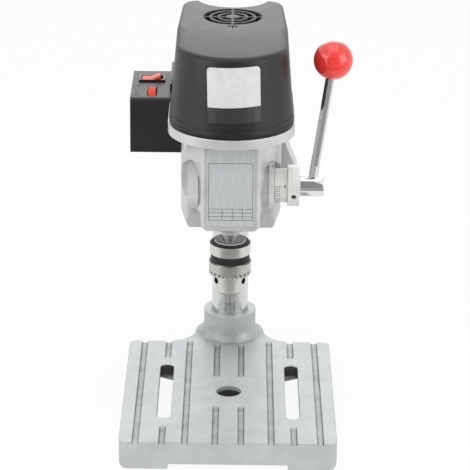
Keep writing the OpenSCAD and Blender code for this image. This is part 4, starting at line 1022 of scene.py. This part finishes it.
@dataclass
class Feed:
    """The feed shaft's bright pieces: dial, collar, hub, lever and ball."""

    dial: Profile = ((5.1, 33.6), (12.85, 33.6), (13.25, 34.0), (13.25, 43.4), (12.85, 43.8), (5.1, 43.8))
    dial_r: float = 13.25
    line_x: float = 34.1
    line_long: Span = (5.2, 3.8)
    long_each: int = 5
    line_y: Span = (-13.3, -13.15)
    line_half: float = 0.2
    first_line: float = 14.0
    per_turn: int = 47
    lines: int = 31
    figures: Sequence[str] = ("4", "3", "2", "1")
    figure_x: float = 41.6
    figure_each: int = 10
    figure_cuts: Sequence[float] = (-1.2, -0.6, 0.0, 0.6, 1.2)
    hub: Profile = ((0.0, 53.1), (8.0, 53.1), (8.5, 53.6), (8.5, 70.9), (8.3, 71.35), (7.8, 71.6),
                    (6.4, 71.6), (6.0, 71.1), (0.0, 70.9))
    lever_x: float = 62.35
    lean: float = math.radians(8.0)
    thread: Span = (8.2, 17.5)
    thread_pitch: float = 0.8
    thread_radii: Point = (3.2, 3.78, 3.4)
    ball_r: float = 15.0
    ball_foot: Profile = ((0.0, -14.75), (3.7, -14.75), (4.1, -14.55))
    ball_arc: range = range(-73, 83, 5)
    reach: float = 102.0
    pointer: Profile = ((33.2, 0.0), (31.2, 0.9), (31.2, -0.9))
    pointer_z: float = 18.28
    pointer_turn: float = math.radians(18.0)

    def build(self) -> None:
        """Builds and dresses the pieces on the feed shaft."""
        dress(DIAL_METAL, "stop_collar")
        dress(BLACK_STEEL, "stop_screw")
        dress(STEEL, "feed_shaft", "return_spring")
        dress(ROD_STEEL, "feed_lever")
        self.build_dial()
        hub = Shape.turned(self.hub).place(Along.X.matrix(FEED))
        hub.piece("hub", "feed", CHROME, "bright", ("feed_hub",))
        self.build_lever()
        self.build_pointer()

    def build_dial(self) -> None:
        """Builds the dial with its lines and figures."""
        ring = Shape.turned(self.dial, ring=True).place(Along.X.matrix(FEED))
        ring.piece("dial_ring", "depth_stop", DIAL_METAL, "dial", ("depth_dial",))
        marks, start, (front, back) = Shape(), self.line_x, self.line_y
        for number in range(self.lines):
            end = start + self.line_long[0 if number % self.long_each == 0 else 1]
            line = Shape.block((start, front, -self.line_half), (end, back, self.line_half))
            marks.join(line.place(self.round_dial(number)))
        for number, figure in enumerate(self.figures):
            marks.join(self.figure(figure).place(self.round_dial(self.figure_each * number)))
        marks.piece("dial_marks", "depth_stop", INK, "black_plastic")

    def round_dial(self, number: int) -> Matrix:
        """Gives the move from the dial's front to one of its lines."""
        turn = math.radians(360.0 * number / self.per_turn - self.first_line)
        return Matrix.Translation(FEED) @ Matrix.Rotation(turn, 4, "X")

    def figure(self, words: str) -> Shape:
        """Makes a figure that is bent round the dial's front.

        Args:
            words: The figure.

        Returns:
            The figure, at the dial's front about the X axis.
        """
        flat = Shape.letters(words, height=4.2, thick=0.12).cut(BACK, *self.figure_cuts)
        for vert in flat.bm.verts:
            turn, radius = vert.co.y / self.dial_r, self.dial_r + vert.co.z
            vert.co = (self.figure_x + vert.co.x, -radius * math.cos(turn), radius * math.sin(turn))
        return flat

    def build_lever(self) -> None:
        """Builds the thread at the lever's root and the ball at its end."""
        move = Matrix.Translation((self.lever_x, *FEED[1:])) @ Matrix.Rotation(self.lean, 4, "Y")
        low, high = self.thread
        core, crest, root = self.thread_radii
        zigzag = [(core, low)]
        for number in range(int((high - low) / self.thread_pitch)):
            foot = low + self.thread_pitch * number
            zigzag += [(crest, foot + self.thread_pitch / 2), (root, foot + self.thread_pitch)]
        thread = Shape.turned([*zigzag, (core, high)], steps=48, ring=True).place(move)
        thread.piece("lever_thread", "feed", ROD_STEEL, "bright", smooth=20.0)
        arc = [math.radians(degrees) for degrees in self.ball_arc]
        round_part = [(self.ball_r * math.cos(turn), self.ball_r * math.sin(turn)) for turn in arc]
        ball = Shape.turned([*self.ball_foot, *round_part, (0.0, self.ball_r)]).shift(0.0, 0.0, self.reach)
        ball.place(move).piece("ball", "feed", BALL_RED, "red_plastic", ("lever_ball",), smooth=40.0)

    def build_pointer(self) -> None:
        """Builds the small dark pointer on the flange's rim."""
        arrow = Shape.plate(self.pointer, thick=0.12).shift(0.0, 0.0, self.pointer_z)
        arrow.place(Matrix.Translation(FEED) @ Matrix.Rotation(self.pointer_turn, 4, "X"))
        arrow.piece("dial_pointer", "head", INK, "black_plastic")


@dataclass
class Chuck:
    """The spindle end and the keyed chuck; its rings are outlines of radius and height."""

    ring: Profile = ((15.73, 148.7), (13.63, 150.35), (12.2, 150.35), (12.2, 149.8), (15.1, 148.7))
    crown: Profile = ((12.2, 150.18), (6.2, 151.56), (6.2, 151.4), (12.2, 150.0))
    lip: Profile = ((12.35, 150.2), (12.25, 150.5), (11.7, 150.62), (11.4, 150.2))
    flare: Profile = ((8.79, 157.25), (8.79, 157.33), (5.72, 159.35), (5.5, 159.1))
    knurl: Profile = ((14.4, 133.8), (14.7, 133.8), (15.0, 134.1), (15.0, 139.9), (14.7, 140.2),
                      (14.4, 140.2))
    # A dark tube of painted shade inside each key hole.
    hole: Profile = ((2.58, 8.7), (2.58, 12.32), (2.25, 12.4), (2.25, 8.7))
    hole_z: float = 118.875
    holes: Sequence[float] = (90.0, 210.0, 330.0)

    def build(self) -> None:
        """Builds the chuck's rings and bands and dresses its nodes."""
        dress(SPINDLE_STEEL, "spindle", "quill", "quill_bearing_lower", "quill_bearing_upper")
        dress(CHUCK_STEEL, "chuck_body")
        dress(SLEEVE_STEEL, "chuck_sleeve")
        dress(JAW_STEEL, "jaw_front", "jaw_right", "jaw_left")
        rings = (("chuck_ring", self.ring, BLACK_STEEL, "black_plastic"),
                 ("chuck_crown", self.crown, CROWN_STEEL, "bright"),
                 # The crown's edge ring is near white to paint its highlight.
                 ("crown_edge", self.lip, RIM_HIGHLIGHT, "bright"),
                 ("nose_flare", self.flare, CAP_PAINT, "head_paint"))
        for name, outline, finish, slot in rings:
            Shape.turned(outline, ring=True).piece(name, "spindle", finish, slot)
        band = Shape.turned(self.knurl, steps=120, ring=True)
        band.piece("knurl_band", "chuck_sleeve", KNURL, "black_plastic")
        # Dark tubes that paint the shade inside the three key holes.
        holes = Shape()
        for angle in self.holes:
            ring = Shape.turned(self.hole, steps=32, ring=True).place(Along.X.matrix())
            turn = Matrix.Rotation(math.radians(angle), 4, "Z")
            holes.join(ring.place(Matrix.Translation((0.0, 0.0, self.hole_z)) @ turn))
        holes.piece("key_hole_shade", "spindle", BLACK_STEEL, "black_plastic")


@dataclass
class Drive:
    """The pulleys, belt and motor under the cover."""

    def build(self) -> None:
        """Dresses the pieces that show when the cover is off."""
        dress(PULLEY, "spindle_pulley", "pulley_bearing")
        dress(MOTOR_PULLEY, "motor_pulley", "motor_bearing_lower", "motor_bearing_upper")
        dress(RUBBER, "belt")
        dress(STEEL, "motor_shaft", "brush_springs")
        dress(LAMINATED, "stator", "armature")
        dress(COPPER, "field_coils", "commutator")
        dress(BRASS, "brush_holders")
        dress(CARBON, "brushes")
        dress(SMALL_BLACK, "fan")


@dataclass
class Studio:
    """Floor, soft light and camera."""

    camera_place: Point = (0.0036, -1.6117, 0.773)
    camera_pitch: float = 69.0
    camera_roll: float = 0.65
    focal_pixels: float = 2243.0
    picture: float = 470.0
    sensor: float = 36.0
    clip_end: float = 100.0
    floor_half: float = 12.0
    floor_z: float = -0.0002
    floor_own: float = 0.92
    sky: float = 0.6
    aim: Point = (0.0, 0.03, 0.14)
    card_wide: float = 1.5
    card_half: float = 0.5
    card_near: float = -0.2
    card_lift: float = 0.002
    card_lean: float = -0.1
    card_tall: float = 2.6

    def build(self) -> None:
        """Builds the floor, the light and the camera."""
        bpy.context.scene.view_settings.view_transform = "Standard"
        self.floor()
        self.world()
        self.lamp("left", (-1.6, -0.9, 0.8), 1.3, 11.0)
        self.lamp("right", (1.6, -0.8, 0.8), 1.3, 11.5)
        self.lamp("top", (0.0, 0.1, 1.9), 1.4, 6.0)
        self.lamp("front", (-0.4, -1.6, 1.9), 1.2, 8.5)
        self.lamp("low", (0.5, -2.3, 0.45), 0.8, 2.5).visible_glossy = False
        self.lamp("back", (0.0, 2.2, 1.15), 1.5, 10.0).visible_diffuse = False
        self.card()
        self.camera()

    def sheet(self, name: str, shape: Shape, graph: Surface) -> bpy.types.Object:
        """Stands a finished sheet in the studio.

        Args:
            name: Its name.
            shape: Its mesh, in metres, which is used up.
            graph: Its surface.

        Returns:
            The object.
        """
        mesh = shape.mesh(name)
        mesh.materials.append(graph.material)
        return stand(name, mesh)

    def camera(self) -> None:
        """Sets the camera where the photograph was taken from."""
        data = bpy.data.cameras.new("camera")
        data.sensor_width = self.sensor
        data.lens = self.focal_pixels * self.sensor / self.picture
        data.clip_end = self.clip_end
        camera = stand("camera", data)
        turn = Matrix.Rotation(math.radians(self.camera_pitch), 4, "X")
        roll = Matrix.Rotation(math.radians(self.camera_roll), 4, "Z")
        camera.matrix_world = Matrix.Translation(self.camera_place) @ turn @ roll
        bpy.context.scene.camera = camera

    def floor(self) -> None:
        """Lays a pale floor that is mostly white to the camera and keeps the shadow."""
        graph = Surface("floor_white")
        graph.paint(graph.noise(graph.places(), size=300.0, detail=2.0), WHITE, (0.0, 0.82), (1.0, 0.86))
        graph.put({"Roughness": 0.9, "Specular IOR Level": 0.0})
        white = graph.add("ShaderNodeEmission", {"Strength": 1.0})
        share = graph.math("MULTIPLY", graph.seen(), self.floor_own)
        shaders = {0: share, 1: graph.surface.outputs["BSDF"], 2: white.outputs["Emission"]}
        mix = graph.add("ShaderNodeMixShader", shaders)
        graph.fill(graph.output, {"Surface": mix.outputs["Shader"]})
        shape = Shape()
        bmesh.ops.create_grid(shape.bm, x_segments=1, y_segments=1, size=self.floor_half)
        floor = self.sheet("floor", shape, graph)
        floor.location.z = self.floor_z

    def world(self) -> None:
        """Makes a soft white surround, plain white to the camera."""
        world = bpy.data.worlds.new("studio")
        world.use_nodes = True
        graph = Graph(world.node_tree)
        level = graph.add("ShaderNodeMapRange", {"Value": graph.seen(), "To Min": self.sky, "To Max": 1.0})
        inputs = {"Color": (*WHITE, 1.0), "Strength": level.outputs["Result"]}
        graph.fill(graph.tree.nodes["Background"], inputs)
        bpy.context.scene.world = world

    def lamp(self, name: str, place: Point, size: float, power: float) -> bpy.types.Object:
        """Hangs a square soft light that faces the head.

        Args:
            name: Name of the lamp.
            place: Where it hangs, in metres.
            size: Side of the light, in metres.
            power: Its power in watts.

        Returns:
            The lamp.
        """
        data = bpy.data.lights.new(name, "AREA")
        data.size, data.energy = size, power
        lamp = stand(name, data)
        lamp.location = place
        lamp.rotation_euler = (Vector(self.aim) - Vector(place)).to_track_quat("-Z", "Y").to_euler()
        lamp.visible_camera = False
        return lamp

    def card(self) -> None:
        """Stands a dark card in front, which only the bright metal sees."""
        shape, half = Shape(), self.card_half
        bmesh.ops.create_grid(shape.bm, x_segments=1, y_segments=1, size=half)
        far = [edge for edge in shape.bm.edges if all(vert.co.y < 0 for vert in edge.verts)]
        bmesh.ops.scale(shape.bm, vec=(self.card_wide, 1.0, 1.0), verts=shape.bm.verts)
        shape.shift(0.0, self.card_near - half, self.card_lift)
        grown = bmesh.ops.extrude_edge_only(shape.bm, edges=far)["geom"]
        bmesh.ops.translate(shape.bm, vec=(0.0, self.card_lean, self.card_tall), verts=corners(grown))
        graph = Surface("card_grey")
        graph.paint(graph.noise(graph.places(), size=60.0, detail=3.0), WHITE, (0.3, 0.25), (0.7, 0.4))
        graph.put({"Roughness": 0.9})
        card = self.sheet("front_card", shape, graph)
        card.visible_camera = card.visible_diffuse = card.visible_shadow = False
        card.visible_transmission = False


def main() -> None:
    """Builds every sub-assembly in order."""
    logging.basicConfig(level=logging.INFO, format="%(message)s")
    for part in (Studio(), Base(), Head(), Cover(), SwitchBox(), Feed(), Chuck(), Drive()):
        part.build()
        LOG.info("%s done", type(part).__name__)
    bpy.context.view_layer.update()


if __name__ == "__main__":
    main()
